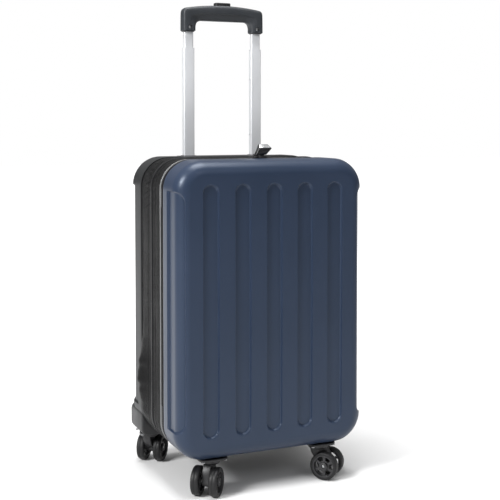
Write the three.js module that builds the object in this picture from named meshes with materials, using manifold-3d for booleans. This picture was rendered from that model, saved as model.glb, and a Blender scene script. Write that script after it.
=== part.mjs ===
// Hard shell cabin suitcase on four swivelling twin-wheel castors, with a two-stage
// trolley handle pulled part of the way out.
// Millimetres, +Z up, the front face towards -Y. The origin is on the floor under the middle.
import * as THREE from 'three';
import { mergeVertices } from 'three/addons/utils/BufferGeometryUtils.js';
import Module from 'manifold-3d';

const wasm = await Module();
wasm.setup();

// ---------------------------------------------------------------- driving dimensions

const HEIGHT = 550;            // floor to the top of the shells
const WIDTH = 340;
const DEPTH = 255;             // with the expansion gusset let out
const FLOOR_GAP = 62;          // floor to the underside of the shells
const CORNER_RADIUS = 50;      // corners seen from the front
const EDGE_RADIUS = 24;        // front and back face into the sides
const WALL = 3;
const GAP = 0.35;              // between pieces that touch

const FRONT_SHELL_EDGE = -58;  // rim of the front shell
const SPLIT_Y = -51;           // where the case opens
const BACK_SHELL_EDGE = 60;    // rim of the back shell

const FLUTE_COUNT = 5;
const FLUTE_PITCH = 56;
const FLUTE_WIDTH = 28;
const FLUTE_LENGTH = 411;
const FLUTE_DEPTH = 4;

const RECESS_X = 155;          // the recessed sides start here on the front face
const RECESS_HALF = 196;       // half their height
const RECESS_DEPTH = 3.5;
const RECESS_RADIUS = 20;
const RIM_BAND = 20;           // full-width band left between each recess and the rim

const TROLLEY_Y = 102.5;
const TUBE_SPACING = 132;
const STAGE_JOINT_Z = 746;     // top of the lower stage at rest
const SLEEVE_BOTTOM_Z = 776;   // underside of the grip's two sleeves at rest

const WHEEL_RADIUS = 24;
const WHEEL_WIDTH = 14;
const WHEEL_SPACING = 31;
const CASTOR_TRAIL = 17;
const FRONT_POST = [100, 91];  // swivel axes from the middle, across and along
const REAR_POST = [147, 91];

// ---------------------------------------------------------------- derived values

const BODY_HEIGHT = HEIGHT - FLOOR_GAP;
const MIDDLE_Z = FLOOR_GAP + BODY_HEIGHT / 2;
const HALF_DEPTH = DEPTH / 2;
const FAR = 40;                // how far a cutting solid reaches past what it cuts

// ---------------------------------------------------------------- finishes

const FINISH = {
  blueShell: { color: 0x374258, roughness: 0.42, metalness: 0 },
  greyShell: { color: 0x3a3b3d, roughness: 0.35, metalness: 0 },
  fabric: { color: 0x1b1b1c, roughness: 0.95, metalness: 0 },
  lining: { color: 0x2a2a2c, roughness: 0.9, metalness: 0 },
  piping: { color: 0x77797b, roughness: 0.6, metalness: 0 },
  zip: { color: 0x141415, roughness: 0.7, metalness: 0 },
  zipMetal: { color: 0x2a2b2d, roughness: 0.35, metalness: 0.9 },
  blackPlastic: { color: 0x1d1e20, roughness: 0.5, metalness: 0 },
  gripPlastic: { color: 0x33373d, roughness: 0.6, metalness: 0 },
  tube: { color: 0xdfe2e6, roughness: 0.3, metalness: 0.95 },
  steel: { color: 0xb9bcc0, roughness: 0.35, metalness: 1 },
  wheel: { color: 0x202124, roughness: 0.55, metalness: 0 },
};

// ---------------------------------------------------------------- solids

function toSolid(geometry) {
  const bare = geometry.clone();
  bare.deleteAttribute('normal');
  bare.deleteAttribute('uv');
  const merged = mergeVertices(bare, 1e-4);
  return new wasm.Manifold(new wasm.Mesh({
    numProp: 3,
    vertProperties: new Float32Array(merged.attributes.position.array),
    triVerts: new Uint32Array(merged.index.array),
  }));
}

function toGeometry(solid) {
  const mesh = solid.getMesh();
  const geometry = new THREE.BufferGeometry();
  geometry.setAttribute('position', new THREE.BufferAttribute(mesh.vertProperties, 3));
  geometry.setIndex(new THREE.BufferAttribute(mesh.triVerts, 1));
  geometry.computeVertexNormals();
  return geometry;
}

// A rectangle with round corners, drawn about (x, y).
function roundedRect(x, y, width, height, radius, Kind = THREE.Shape) {
  const [right, top] = [x + width / 2, y + height / 2];
  const [left, bottom] = [x - width / 2, y - height / 2];
  const outline = new Kind();
  outline.moveTo(left + radius, bottom);
  outline.lineTo(right - radius, bottom);
  outline.absarc(right - radius, bottom + radius, radius, -Math.PI / 2, 0);
  outline.lineTo(right, top - radius);
  outline.absarc(right - radius, top - radius, radius, 0, Math.PI / 2);
  outline.lineTo(left + radius, top);
  outline.absarc(left + radius, top - radius, radius, Math.PI / 2, Math.PI);
  outline.lineTo(left, bottom + radius);
  outline.absarc(left + radius, bottom + radius, radius, Math.PI, Math.PI * 1.5);
  return outline;
}

// An outline drawn in X and Y, raised from the height `low` to the height `high`.
function extrudeZ(shape, low, high, { bevel = 0, bevelSegments = 1, curveSegments = 2 } = {}) {
  const geometry = new THREE.ExtrudeGeometry(shape, {
    depth: high - low - 2 * bevel,
    bevelEnabled: bevel > 0,
    bevelThickness: bevel,
    bevelSize: bevel,
    bevelOffset: -bevel,
    bevelSegments,
    curveSegments,
  });
  return geometry.translate(0, 0, low + bevel);
}

// An outline drawn in X and Z, from the depth `near` to the depth `far`.
function extrudeY(shape, near, far, options) {
  return extrudeZ(shape, -far, -near, options).rotateX(Math.PI / 2);
}

// A box between two corners.
function block(low, high) {
  const size = high.map((value, axis) => value - low[axis]);
  const middle = high.map((value, axis) => (value + low[axis]) / 2);
  return new THREE.BoxGeometry(...size).translate(...middle);
}

const suitcase = new THREE.Group();

function addPart(name, shape, finish, parent = suitcase) {
  const geometry = shape.isBufferGeometry ? shape : toGeometry(shape);
  const mesh = new THREE.Mesh(geometry, new THREE.MeshStandardMaterial(finish));
  mesh.name = name;
  parent.add(mesh);
  return mesh;
}

// ---------------------------------------------------------------- the two shells

const bodyOutline = (inset, Kind) => roundedRect(
  0, MIDDLE_Z, WIDTH - 2 * inset, BODY_HEIGHT - 2 * inset, CORNER_RADIUS - inset, Kind,
);

function roundedBody(inset) {
  return toSolid(extrudeY(bodyOutline(inset), inset - HALF_DEPTH, HALF_DEPTH - inset, {
    bevel: EDGE_RADIUS - inset,
    bevelSegments: 3,
    curveSegments: 4,
  }));
}

// The body with its sides stepped in between the corner guards and the bands at the rims.
function steppedBody(inset) {
  const inner = RECESS_X - inset;
  const outer = WIDTH / 2 + FAR;
  const low = roundedBody(inset + RECESS_DEPTH);
  const reaches = [
    [-HALF_DEPTH - FAR, FRONT_SHELL_EDGE - RIM_BAND + inset],
    [BACK_SHELL_EDGE + RIM_BAND - inset, HALF_DEPTH + FAR],
  ];
  let body = roundedBody(inset);
  for (const side of [-1, 1]) {
    for (const reach of reaches) {
      const zone = toSolid(extrudeY(
        roundedRect(
          side * (inner + outer) / 2, MIDDLE_Z,
          outer - inner, 2 * (RECESS_HALF + inset), RECESS_RADIUS,
        ),
        ...reach,
      ));
      body = body.subtract(zone.subtract(low));
    }
  }
  return body;
}

// Five upright flutes pressed into the face on `side`: -1 is the front, 1 the back.
function pressFlutes(body, side, grow) {
  let pressed = body;
  for (let index = 0; index < FLUTE_COUNT; index += 1) {
    const x = (index - (FLUTE_COUNT - 1) / 2) * FLUTE_PITCH;
    const width = FLUTE_WIDTH + 2 * grow;
    const floor = side * (HALF_DEPTH - FLUTE_DEPTH - grow);
    const outside = side * (HALF_DEPTH + FAR);
    const flute = extrudeY(
      roundedRect(x, MIDDLE_Z, width, FLUTE_LENGTH + 2 * grow, width / 2 - 0.01),
      Math.min(floor, outside), Math.max(floor, outside), { curveSegments: 3 },
    );
    pressed = pressed.subtract(toSolid(flute));
  }
  return pressed;
}

function shell(side, near, far) {
  const outside = pressFlutes(steppedBody(0), side, 0);
  const inside = pressFlutes(steppedBody(WALL), side, WALL);
  const half = block([-WIDTH, near, 0], [WIDTH, far, HEIGHT + FAR]);
  return outside.subtract(inside).intersect(toSolid(half));
}

const BEZEL = { width: 172, depth: 23, thickness: 3.4 };

addPart('front_shell', shell(-1, -DEPTH, FRONT_SHELL_EDGE), FINISH.blueShell);

const bezelOutline = (grow) => roundedRect(
  0, TROLLEY_Y, BEZEL.width + 2 * grow, BEZEL.depth + 2 * grow, 5 + grow,
);
const bezelOpening = toSolid(extrudeZ(bezelOutline(GAP), HEIGHT - FAR, HEIGHT + FAR));
addPart('back_shell', shell(1, BACK_SHELL_EDGE, DEPTH).subtract(bezelOpening), FINISH.greyShell);

// ---------------------------------------------------------------- zip, piping and gusset

const HINGE_HALF = 165;        // half the height of the fabric hinge on the left

// A band that follows the outline of the case, `outer` to `inner` in from its surface.
function band(near, far, outer, inner) {
  const outline = bodyOutline(outer);
  outline.holes.push(bodyOutline(inner, THREE.Path));
  return extrudeY(outline, near, far, { curveSegments: 4 });
}

const ZIP_TAPE_WIDTH = 6.4;
const hingeGap = toSolid(block(
  [-WIDTH, -HALF_DEPTH, MIDDLE_Z - HINGE_HALF],
  [0, HALF_DEPTH, MIDDLE_Z + HINGE_HALF],
));
const frontTapeNear = FRONT_SHELL_EDGE + GAP;
const frontTape = band(frontTapeNear, frontTapeNear + ZIP_TAPE_WIDTH, 0.8, 3);
const rearTapeNear = SPLIT_Y + GAP / 2;
const rearTape = band(rearTapeNear, rearTapeNear + ZIP_TAPE_WIDTH, 0.8, 3);
addPart('zip_tape_front', toSolid(frontTape).subtract(hingeGap), FINISH.zip);
addPart('zip_tape_rear', toSolid(rearTape).subtract(hingeGap), FINISH.zip);
addPart('hinge_strip', block(
  [-WIDTH / 2 + 0.8, frontTapeNear, MIDDLE_Z - HINGE_HALF + GAP],
  [-WIDTH / 2 + 3, rearTapeNear + ZIP_TAPE_WIDTH, MIDDLE_Z + HINGE_HALF - GAP],
), FINISH.fabric);

const PIPING_WIDTH = 5;
const pipingNear = rearTapeNear + ZIP_TAPE_WIDTH + GAP;
addPart('piping', band(pipingNear, pipingNear + PIPING_WIDTH, 0.2, 4.6), FINISH.piping);

const EXPANSION_ZIP = [0, 10]; // depths between which the expansion zip lies
const gussetNear = pipingNear + PIPING_WIDTH + GAP;
addPart('gusset_front', band(gussetNear, EXPANSION_ZIP[0] - GAP, 1.4, 3.4), FINISH.fabric);
addPart('expansion_zip', band(...EXPANSION_ZIP, 1, 3.2), FINISH.zip);
addPart('gusset_rear', band(EXPANSION_ZIP[1] + GAP, BACK_SHELL_EDGE - GAP, 1.4, 3.4), FINISH.fabric);

// Two sliders meet at the top. The left one has a chunky wedge-shaped pull with a bright face
// that leans to the right; the right one has a flat tab that lies back.
const SLIDER = { length: 14, width: 10, height: 3.6, spacing: 14.6 };
const SLIDER_LOW = HEIGHT - 0.8 + GAP;
const PULL_PIVOT_Z = SLIDER_LOW + SLIDER.height + 2;

function slider(name, x) {
  addPart(name, block(
    [x - SLIDER.length / 2, SPLIT_Y - SLIDER.width / 2, SLIDER_LOW],
    [x + SLIDER.length / 2, SPLIT_Y + SLIDER.width / 2, SLIDER_LOW + SLIDER.height],
  ), FINISH.zipMetal);
}
slider('zip_slider_left', 0);
slider('zip_slider_right', SLIDER.spacing);

// The wedge, from its pivot at the origin: its side view, cut by a top that falls to the front.
const WEDGE = { halfWidth: 5, front: 12, back: 19 };
const WEDGE_SIDE = [[-1, 1], [18, 1], [28.5, 11.5], [24, WEDGE.back], [6.5, WEDGE.back]];
const wedgeSide = new THREE.Shape(WEDGE_SIDE.map((point) => new THREE.Vector2(...point)));
const wedgeSection = new THREE.Shape([
  [-WEDGE.halfWidth, 0], [WEDGE.halfWidth, 0],
  [WEDGE.halfWidth, WEDGE.back], [-WEDGE.halfWidth, WEDGE.front],
].map((point) => new THREE.Vector2(...point)));
const wedgeLength = extrudeY(wedgeSection, -FAR, FAR).rotateZ(Math.PI / 2);
const wedge = toSolid(extrudeY(wedgeSide, -WEDGE.halfWidth - 1, WEDGE.halfWidth + 1))
  .intersect(toSolid(wedgeLength));
addPart('zip_pull_left', wedge, FINISH.blackPlastic).position.set(0, SPLIT_Y, PULL_PIVOT_Z);

const TAB = { length: 27, width: 11, thickness: 2.4, pivotBack: 6.5 };
addPart('zip_pull_right', extrudeZ(
  roundedRect(
    SLIDER.spacing, SPLIT_Y + TAB.pivotBack + 1 + TAB.length / 2, TAB.width, TAB.length, 3,
  ),
  PULL_PIVOT_Z - TAB.thickness / 2, PULL_PIVOT_Z + TAB.thickness / 2,
), FINISH.blackPlastic);

// ---------------------------------------------------------------- trolley handle

// Rectangular aluminium sections, each sliding in the next: [width, depth, wall].
const UPPER_SECTION = [17.5, 8.5, 1];
const LOWER_SECTION = [20.5, 11.5, 1.1];
const GUIDE_SECTION = [23.5, 14.5, 1.1];
const UPPER_TUBE = [500, 790]; // bottom and top at rest
const LOWER_TUBE = [306, STAGE_JOINT_Z];
const FOOT = [66.6, 82];
const GUIDE_TUBE = [FOOT[1] + GAP, HEIGHT - BEZEL.thickness - GAP];

function tubeSection([width, depth, wall], x) {
  const outline = roundedRect(x, TROLLEY_Y, width, depth, 2);
  outline.holes.push(roundedRect(
    x, TROLLEY_Y, width - 2 * wall, depth - 2 * wall, 1, THREE.Path,
  ));
  return outline;
}

const filledSection = ([width, depth], x, grow) => roundedRect(
  x, TROLLEY_Y, width + 2 * grow, depth + 2 * grow, 2 + grow,
);

const SIDES = [['left', -TUBE_SPACING / 2], ['right', TUBE_SPACING / 2]];
const LOW_DETAIL = { curveSegments: 1 };
const ROD_RADIUS = 2.5;
const LINK_Z = [801, 807];     // the bar inside the grip that pushes both rods
const BUTTON_TRAVEL = 3;
const ROD_BOTTOM = 520;

let bezel = toSolid(extrudeZ(bezelOutline(0), HEIGHT - BEZEL.thickness, HEIGHT));
for (const [side, x] of SIDES) {
  addPart(`trolley_foot_${side}`, block(
    [x - 18, TROLLEY_Y - 10, FOOT[0]], [x + 18, TROLLEY_Y + 7, FOOT[1]],
  ), FINISH.blackPlastic);
  addPart(`guide_tube_${side}`, extrudeZ(
    tubeSection(GUIDE_SECTION, x), ...GUIDE_TUBE, LOW_DETAIL,
  ), FINISH.steel);
  addPart(`lower_tube_${side}`, extrudeZ(
    tubeSection(LOWER_SECTION, x), ...LOWER_TUBE, LOW_DETAIL,
  ), FINISH.tube);
  addPart(`upper_tube_${side}`, extrudeZ(
    tubeSection(UPPER_SECTION, x), ...UPPER_TUBE, LOW_DETAIL,
  ), FINISH.tube);
  const rod = new THREE.CylinderGeometry(ROD_RADIUS, ROD_RADIUS, LINK_Z[0] - GAP - ROD_BOTTOM, 8);
  rod.rotateX(Math.PI / 2);
  rod.translate(x, TROLLEY_Y, (LINK_Z[0] - GAP + ROD_BOTTOM) / 2);
  addPart(`push_rod_${side}`, rod, FINISH.steel);
  bezel = bezel.subtract(toSolid(extrudeZ(
    filledSection(LOWER_SECTION, x, GAP), HEIGHT - FAR, HEIGHT + FAR, LOW_DETAIL,
  )));
}
addPart('trolley_bezel', bezel, FINISH.blackPlastic);

// The grip: an arched bar with a sleeve down over each upper tube.
const GRIP = {
  halfWidth: 78.5, sleeveInside: 54.5, depth: 23,
  shoulder: 810, top: 824.5, underside: 795,
};

function gripOutline() {
  const { halfWidth, sleeveInside, shoulder, top, underside } = GRIP;
  const outline = new THREE.Shape();
  outline.moveTo(-halfWidth, SLEEVE_BOTTOM_Z);
  outline.lineTo(-sleeveInside, SLEEVE_BOTTOM_Z);
  outline.lineTo(-sleeveInside, underside - 13);
  outline.quadraticCurveTo(-sleeveInside, underside, -sleeveInside + 13, underside);
  outline.lineTo(sleeveInside - 13, underside);
  outline.quadraticCurveTo(sleeveInside, underside, sleeveInside, underside - 13);
  outline.lineTo(sleeveInside, SLEEVE_BOTTOM_Z);
  outline.lineTo(halfWidth, SLEEVE_BOTTOM_Z);
  outline.lineTo(halfWidth, shoulder);
  outline.quadraticCurveTo(halfWidth, shoulder + 7, halfWidth - 8, shoulder + 8.5);
  outline.quadraticCurveTo(halfWidth / 2, top, 0, top);
  outline.quadraticCurveTo(-halfWidth / 2, top, -halfWidth + 8, shoulder + 8.5);
  outline.quadraticCurveTo(-halfWidth, shoulder + 7, -halfWidth, shoulder);
  return outline;
}

const BUTTON = { width: 30, depth: 14, top: 829.5 };
let grip = toSolid(extrudeY(
  gripOutline(), TROLLEY_Y - GRIP.depth / 2, TROLLEY_Y + GRIP.depth / 2,
  { bevel: 4, bevelSegments: 2, curveSegments: 4 },
));
// Room inside for the bar that joins the button to the two rods, and for its travel.
grip = grip.subtract(toSolid(block(
  [-TUBE_SPACING / 2 - 5, TROLLEY_Y - 4.5, LINK_Z[0] - BUTTON_TRAVEL - 0.6],
  [TUBE_SPACING / 2 + 5, TROLLEY_Y + 4.5, LINK_Z[1] + GAP],
)));
grip = grip.subtract(toSolid(extrudeZ(
  roundedRect(0, TROLLEY_Y, BUTTON.width + 0.8, BUTTON.depth + 0.8, 4),
  LINK_Z[1] - BUTTON_TRAVEL, HEIGHT + DEPTH + FAR,
)));
const SCREW = { headRadius: 3.2, radius: 1.6, z: 783 };
for (const [, x] of SIDES) {
  const socket = filledSection(UPPER_SECTION, x, GAP);
  grip = grip.subtract(toSolid(extrudeZ(socket, SLEEVE_BOTTOM_Z - FAR, UPPER_TUBE[1] + GAP, LOW_DETAIL)));
  grip = grip.subtract(toSolid(block(
    [x - 3.2, TROLLEY_Y - 3.2, UPPER_TUBE[1] - FAR], [x + 3.2, TROLLEY_Y + 3.2, LINK_Z[1]],
  )));
  const screwHole = new THREE.CylinderGeometry(SCREW.headRadius + GAP, SCREW.headRadius + GAP, 12, 12);
  grip = grip.subtract(toSolid(screwHole.translate(x, TROLLEY_Y - GRIP.depth / 2, SCREW.z)));
}
addPart('trolley_grip', grip, FINISH.gripPlastic);
for (const [side, x] of SIDES) {
  const head = new THREE.CylinderGeometry(SCREW.headRadius, SCREW.headRadius, 2, 12);
  head.translate(x, TROLLEY_Y - GRIP.depth / 2 + 2.4, SCREW.z);
  addPart(`grip_screw_${side}`, head, FINISH.steel);
}
addPart('release_button', extrudeZ(
  roundedRect(0, TROLLEY_Y, BUTTON.width, BUTTON.depth, 3.6), LINK_Z[1] + GAP, BUTTON.top,
  { bevel: 0.8, curveSegments: 2 },
), FINISH.blackPlastic);
addPart('release_link', block(
  [-TUBE_SPACING / 2 - 4, TROLLEY_Y - 4, LINK_Z[0]],
  [TUBE_SPACING / 2 + 4, TROLLEY_Y + 4, LINK_Z[1]],
), FINISH.steel);

// ---------------------------------------------------------------- inside

const LINING_INSET = WALL + RECESS_DEPTH + 0.8;
const liningPanel = (near, far) => extrudeY(bodyOutline(LINING_INSET), near, far);
addPart('trolley_lining', liningPanel(88, 89.6), FINISH.lining);
addPart('divider_panel', liningPanel(-65, -63.4), FINISH.lining);

// Packing straps across the rear half, clipped together in the middle.
const STRAP = { near: -34, far: -32.4, height: 38, reach: 165 };
const BUCKLE = { half: 30, height: 44, near: -36, far: -30.4 };
for (const [side, sign] of [['left', -1], ['right', 1]]) {
  const ends = [sign * (BUCKLE.half + GAP), sign * STRAP.reach].sort((a, b) => a - b);
  addPart(`packing_strap_${side}`, block(
    [ends[0], STRAP.near, MIDDLE_Z - STRAP.height / 2],
    [ends[1], STRAP.far, MIDDLE_Z + STRAP.height / 2],
  ), FINISH.lining);
  addPart(side === 'left' ? 'buckle_socket' : 'buckle_clip', extrudeY(
    roundedRect(
      sign * (BUCKLE.half / 2 + GAP / 2), MIDDLE_Z, BUCKLE.half - GAP, BUCKLE.height, 6,
    ),
    BUCKLE.near, BUCKLE.far,
  ), FINISH.blackPlastic);
}

// ---------------------------------------------------------------- castors

const AXLE_RADIUS = 3;
const WHEEL_OPENINGS = { count: 6, pitchRadius: 12.4, radius: 4.4 };
const PLATE = [57.6, FLOOR_GAP - GAP]; // underside and top of a mounting plate
const FORK_TOP = PLATE[0] - 0.5;
const FORK = { ringRadius: 17, ringHeight: 6, width: 14, bossRadius: 9, neck: 13 };
const PIN_RADIUS = 4.5;

function wheelGeometry() {
  const rim = new THREE.Shape();
  rim.absarc(0, 0, WHEEL_RADIUS, 0, Math.PI * 2);
  const bore = new THREE.Path();
  bore.setFromPoints(Array.from({ length: 10 }, (_, corner) => new THREE.Vector2(
    AXLE_RADIUS + GAP + 0.15, 0,
  ).rotateAround(new THREE.Vector2(), -corner * Math.PI / 5)));
  rim.holes.push(bore);
  for (let index = 0; index < WHEEL_OPENINGS.count; index += 1) {
    const turn = (index / WHEEL_OPENINGS.count) * Math.PI * 2;
    const centre = new THREE.Vector2(WHEEL_OPENINGS.pitchRadius, 0);
    const corners = Array.from({ length: 6 }, (_, corner) => new THREE.Vector2(
      WHEEL_OPENINGS.radius, 0,
    ).rotateAround(new THREE.Vector2(), -corner * Math.PI / 3).add(centre));
    const opening = new THREE.Path();
    opening.setFromPoints(corners.map((point) => point.rotateAround(new THREE.Vector2(), turn)));
    rim.holes.push(opening);
  }
  return new THREE.ExtrudeGeometry(rim, {
    depth: WHEEL_WIDTH, bevelEnabled: false, curveSegments: 12,
  }).translate(0, 0, -WHEEL_WIDTH / 2);
}

// The swivelling fork, drawn with the swivel axis on Z and the wheels trailing along +X.
function forkSolid() {
  const side = new THREE.Shape();
  side.moveTo(-FORK.neck, FORK_TOP - 1);
  side.quadraticCurveTo(-FORK.neck, 36, CASTOR_TRAIL - FORK.bossRadius, WHEEL_RADIUS);
  side.absarc(CASTOR_TRAIL, WHEEL_RADIUS, FORK.bossRadius, Math.PI, Math.PI * 2);
  side.quadraticCurveTo(CASTOR_TRAIL + FORK.bossRadius, 44, FORK.neck, FORK_TOP - 1);
  const arm = toSolid(extrudeY(side, -FORK.width / 2, FORK.width / 2, { curveSegments: 5 }));
  const ring = new THREE.CylinderGeometry(FORK.ringRadius, FORK.ringRadius, FORK.ringHeight, 24);
  ring.rotateX(Math.PI / 2).translate(0, 0, FORK_TOP - FORK.ringHeight / 2);
  const pinTop = PLATE[1] - 0.6;
  const pin = new THREE.CylinderGeometry(PIN_RADIUS, PIN_RADIUS, pinTop - FORK_TOP + 1, 12);
  pin.rotateX(Math.PI / 2).translate(0, 0, (pinTop + FORK_TOP - 1) / 2);
  const bore = new THREE.CylinderGeometry(AXLE_RADIUS + GAP, AXLE_RADIUS + GAP, FORK.width * 2, 10);
  bore.translate(CASTOR_TRAIL, 0, WHEEL_RADIUS);
  return arm.add(toSolid(ring)).add(toSolid(pin)).subtract(toSolid(bore));
}

const pinHole = (x, y) => {
  const hole = new THREE.CylinderGeometry(PIN_RADIUS + GAP, PIN_RADIUS + GAP, FAR, 12);
  return toSolid(hole.rotateX(Math.PI / 2).translate(x, y, PLATE[1] - FAR / 2 + 0.05));
};

// A low round-cornered plate under the front shell.
function frontHousing(x, y) {
  const plate = extrudeZ(roundedRect(x, y, 50, 50, 14), ...PLATE, { bevel: 1.2 });
  return toSolid(plate).subtract(pinHole(x, y));
}

// A bracket that fills out the rounded bottom corner of the back shell.
const BRACKET = { width: 58, top: 106, inset: 0.6, radius: 13 };

function rearHousing(x, y) {
  const side = Math.sign(x);
  const outer = WIDTH / 2 - BRACKET.inset;
  const height = BRACKET.top - PLATE[0];
  const corner = roundedRect(
    side * (outer - BRACKET.width / 2), PLATE[0] + height / 2, BRACKET.width, height, BRACKET.radius,
  );
  const near = BACK_SHELL_EDGE + 2;
  const far = HALF_DEPTH - 1;
  const bracket = toSolid(extrudeY(corner, near, far, { bevel: 3 }));
  const ledge = toSolid(extrudeZ(roundedRect(x, y, 45, 50, 10), PLATE[0], PLATE[1] + 4));
  return bracket.add(ledge).subtract(roundedBody(-GAP)).subtract(pinHole(x, y));
}

// Each castor: its name, swivel axis, and the compass angle its wheels trail towards.
const CASTORS = [
  ['front_left', -FRONT_POST[0], -FRONT_POST[1], -129],
  ['front_right', FRONT_POST[0], -FRONT_POST[1], -47],
  ['rear_left', -REAR_POST[0], REAR_POST[1], 51],
  ['rear_right', REAR_POST[0], REAR_POST[1], 129],
];

for (const [place, x, y, trailAngle] of CASTORS) {
  const isFront = y < 0;
  addPart(
    `housing_${place}`, isFront ? frontHousing(x, y) : rearHousing(x, y), FINISH.blackPlastic,
  );
  const swivel = new THREE.Group();
  swivel.position.set(x, y, 0);
  swivel.rotation.z = THREE.MathUtils.degToRad(trailAngle);
  suitcase.add(swivel);
  addPart(`fork_${place}`, forkSolid(), FINISH.blackPlastic, swivel);
  const axle = new THREE.CylinderGeometry(AXLE_RADIUS, AXLE_RADIUS, WHEEL_SPACING + WHEEL_WIDTH - 2, 10);
  axle.translate(CASTOR_TRAIL, 0, WHEEL_RADIUS);
  addPart(`axle_${place}`, axle, FINISH.steel, swivel);
  for (const [end, sign] of [['a', -1], ['b', 1]]) {
    const wheel = addPart(`wheel_${place}_${end}`, wheelGeometry(), FINISH.wheel, swivel);
    wheel.position.set(CASTOR_TRAIL, sign * WHEEL_SPACING / 2, WHEEL_RADIUS);
    wheel.rotation.x = Math.PI / 2;
  }
}

export default suitcase;
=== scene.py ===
"""A hard shell cabin suitcase on castors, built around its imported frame.

Metres, +Z up, the front face towards -Y and the floor at Z = 0.
"""

import math

import bmesh
import bpy
import numpy as np
from mathutils import Matrix, Vector


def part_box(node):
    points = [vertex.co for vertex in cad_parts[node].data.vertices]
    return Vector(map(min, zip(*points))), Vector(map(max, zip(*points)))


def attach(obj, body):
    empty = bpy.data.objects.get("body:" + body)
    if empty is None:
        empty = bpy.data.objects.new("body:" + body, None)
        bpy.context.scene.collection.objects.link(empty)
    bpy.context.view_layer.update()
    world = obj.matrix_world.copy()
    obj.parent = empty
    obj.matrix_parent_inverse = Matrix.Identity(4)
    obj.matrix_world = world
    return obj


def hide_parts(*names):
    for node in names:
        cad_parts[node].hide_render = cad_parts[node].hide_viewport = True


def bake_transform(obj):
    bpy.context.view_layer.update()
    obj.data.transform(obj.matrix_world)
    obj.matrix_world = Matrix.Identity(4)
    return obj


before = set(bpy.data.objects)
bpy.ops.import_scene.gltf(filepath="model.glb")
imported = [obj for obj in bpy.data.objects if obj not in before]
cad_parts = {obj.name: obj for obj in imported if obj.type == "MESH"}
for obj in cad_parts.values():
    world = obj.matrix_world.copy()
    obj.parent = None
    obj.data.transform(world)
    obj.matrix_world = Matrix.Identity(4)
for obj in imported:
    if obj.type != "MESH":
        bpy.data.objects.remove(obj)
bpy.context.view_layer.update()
MM = 0.001

# ------------------------------------------------------------------ camera and studio
# A long lens in front of the case and to its left, a little above its shells. The floor is
# pale and plain, and the light comes from large soft boxes and a bright ceiling. Beyond the case
# the floor also has a painted glow, which grows away from the camera so the far floor turns white.

EYE = (-0.7122, -1.6590, 0.6152)
TURNED_RIGHT = math.radians(23.564)
TILTED_DOWN = math.radians(2.293)

scene = bpy.context.scene
camera = bpy.data.objects.new("camera", bpy.data.cameras.new("camera"))
camera.location = EYE
camera.rotation_euler = (math.pi / 2 - TILTED_DOWN, 0, -TURNED_RIGHT)
camera.data.sensor_width = 36
camera.data.lens = 74.15
camera.data.shift_y = -0.1775
scene.collection.objects.link(camera)
scene.camera = camera
scene.view_settings.view_transform = "Standard"


def soft_box(name, place, size, power):
    """A square light that faces the middle of the case."""
    lamp = bpy.data.objects.new(name, bpy.data.lights.new(name, "AREA"))
    lamp.data.size = size
    lamp.data.energy = power
    lamp.location = place
    away = Vector((0, 0, 0.35)) - Vector(place)
    lamp.rotation_euler = away.to_track_quat("-Z", "Y").to_euler()
    scene.collection.objects.link(lamp)


soft_box("key_box", (-2.5, -0.9, 1.9), 0.8, 100)
soft_box("front_box", (0.6, -3.4, 2.4), 1.2, 9)
soft_box("ceiling_box", (0, -0.1, 2.7), 1.4, 72)


def studio_world():
    """Bright overhead, dimmer at the height of the case, and white where the camera sees it."""
    world = bpy.data.worlds.new("studio")
    world.use_nodes = True
    tree = world.node_tree
    lit = tree.nodes["Background"]
    lit.inputs["Color"].default_value = (1, 1, 1, 1)
    place = tree.nodes.new("ShaderNodeTexCoord")
    split = tree.nodes.new("ShaderNodeSeparateXYZ")
    tree.links.new(place.outputs["Generated"], split.inputs["Vector"])
    height = tree.nodes.new("ShaderNodeMapRange")
    height.inputs["From Min"].default_value = -0.1
    height.inputs["From Max"].default_value = 0.9
    height.inputs["To Min"].default_value = 0.05
    height.inputs["To Max"].default_value = 0.7
    tree.links.new(split.outputs["Z"], height.inputs["Value"])
    tree.links.new(height.outputs["Result"], lit.inputs["Strength"])
    seen = tree.nodes.new("ShaderNodeBackground")
    seen.inputs["Color"].default_value = (1, 1, 1, 1)
    path = tree.nodes.new("ShaderNodeLightPath")
    choice = tree.nodes.new("ShaderNodeMixShader")
    tree.links.new(path.outputs["Is Camera Ray"], choice.inputs["Fac"])
    tree.links.new(lit.outputs["Background"], choice.inputs[1])
    tree.links.new(seen.outputs["Background"], choice.inputs[2])
    tree.links.new(choice.outputs["Shader"], tree.nodes["World Output"].inputs["Surface"])
    return world


scene.world = studio_world()

FLOOR_REACH = 12.0
floor_mesh = bpy.data.meshes.new("studio_floor")
floor_corners = [(-FLOOR_REACH, -FLOOR_REACH), (FLOOR_REACH, -FLOOR_REACH)]
floor_corners += [(FLOOR_REACH, FLOOR_REACH), (-FLOOR_REACH, FLOOR_REACH)]
floor_mesh.from_pydata([(x, y, 0) for x, y in floor_corners], [], [(0, 1, 2, 3)])
studio_floor = bpy.data.objects.new("studio_floor", floor_mesh)
scene.collection.objects.link(studio_floor)
floor_paint = bpy.data.materials.new("floor_paint")
floor_paint.use_nodes = True
floor_tree = floor_paint.node_tree
floor_shader = floor_tree.nodes["Principled BSDF"]
floor_shader.inputs["Base Color"].default_value = (0.78, 0.78, 0.78, 1)
floor_shader.inputs["Roughness"].default_value = 0.9
floor_shader.inputs["Emission Color"].default_value = (1, 1, 1, 1)
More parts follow.
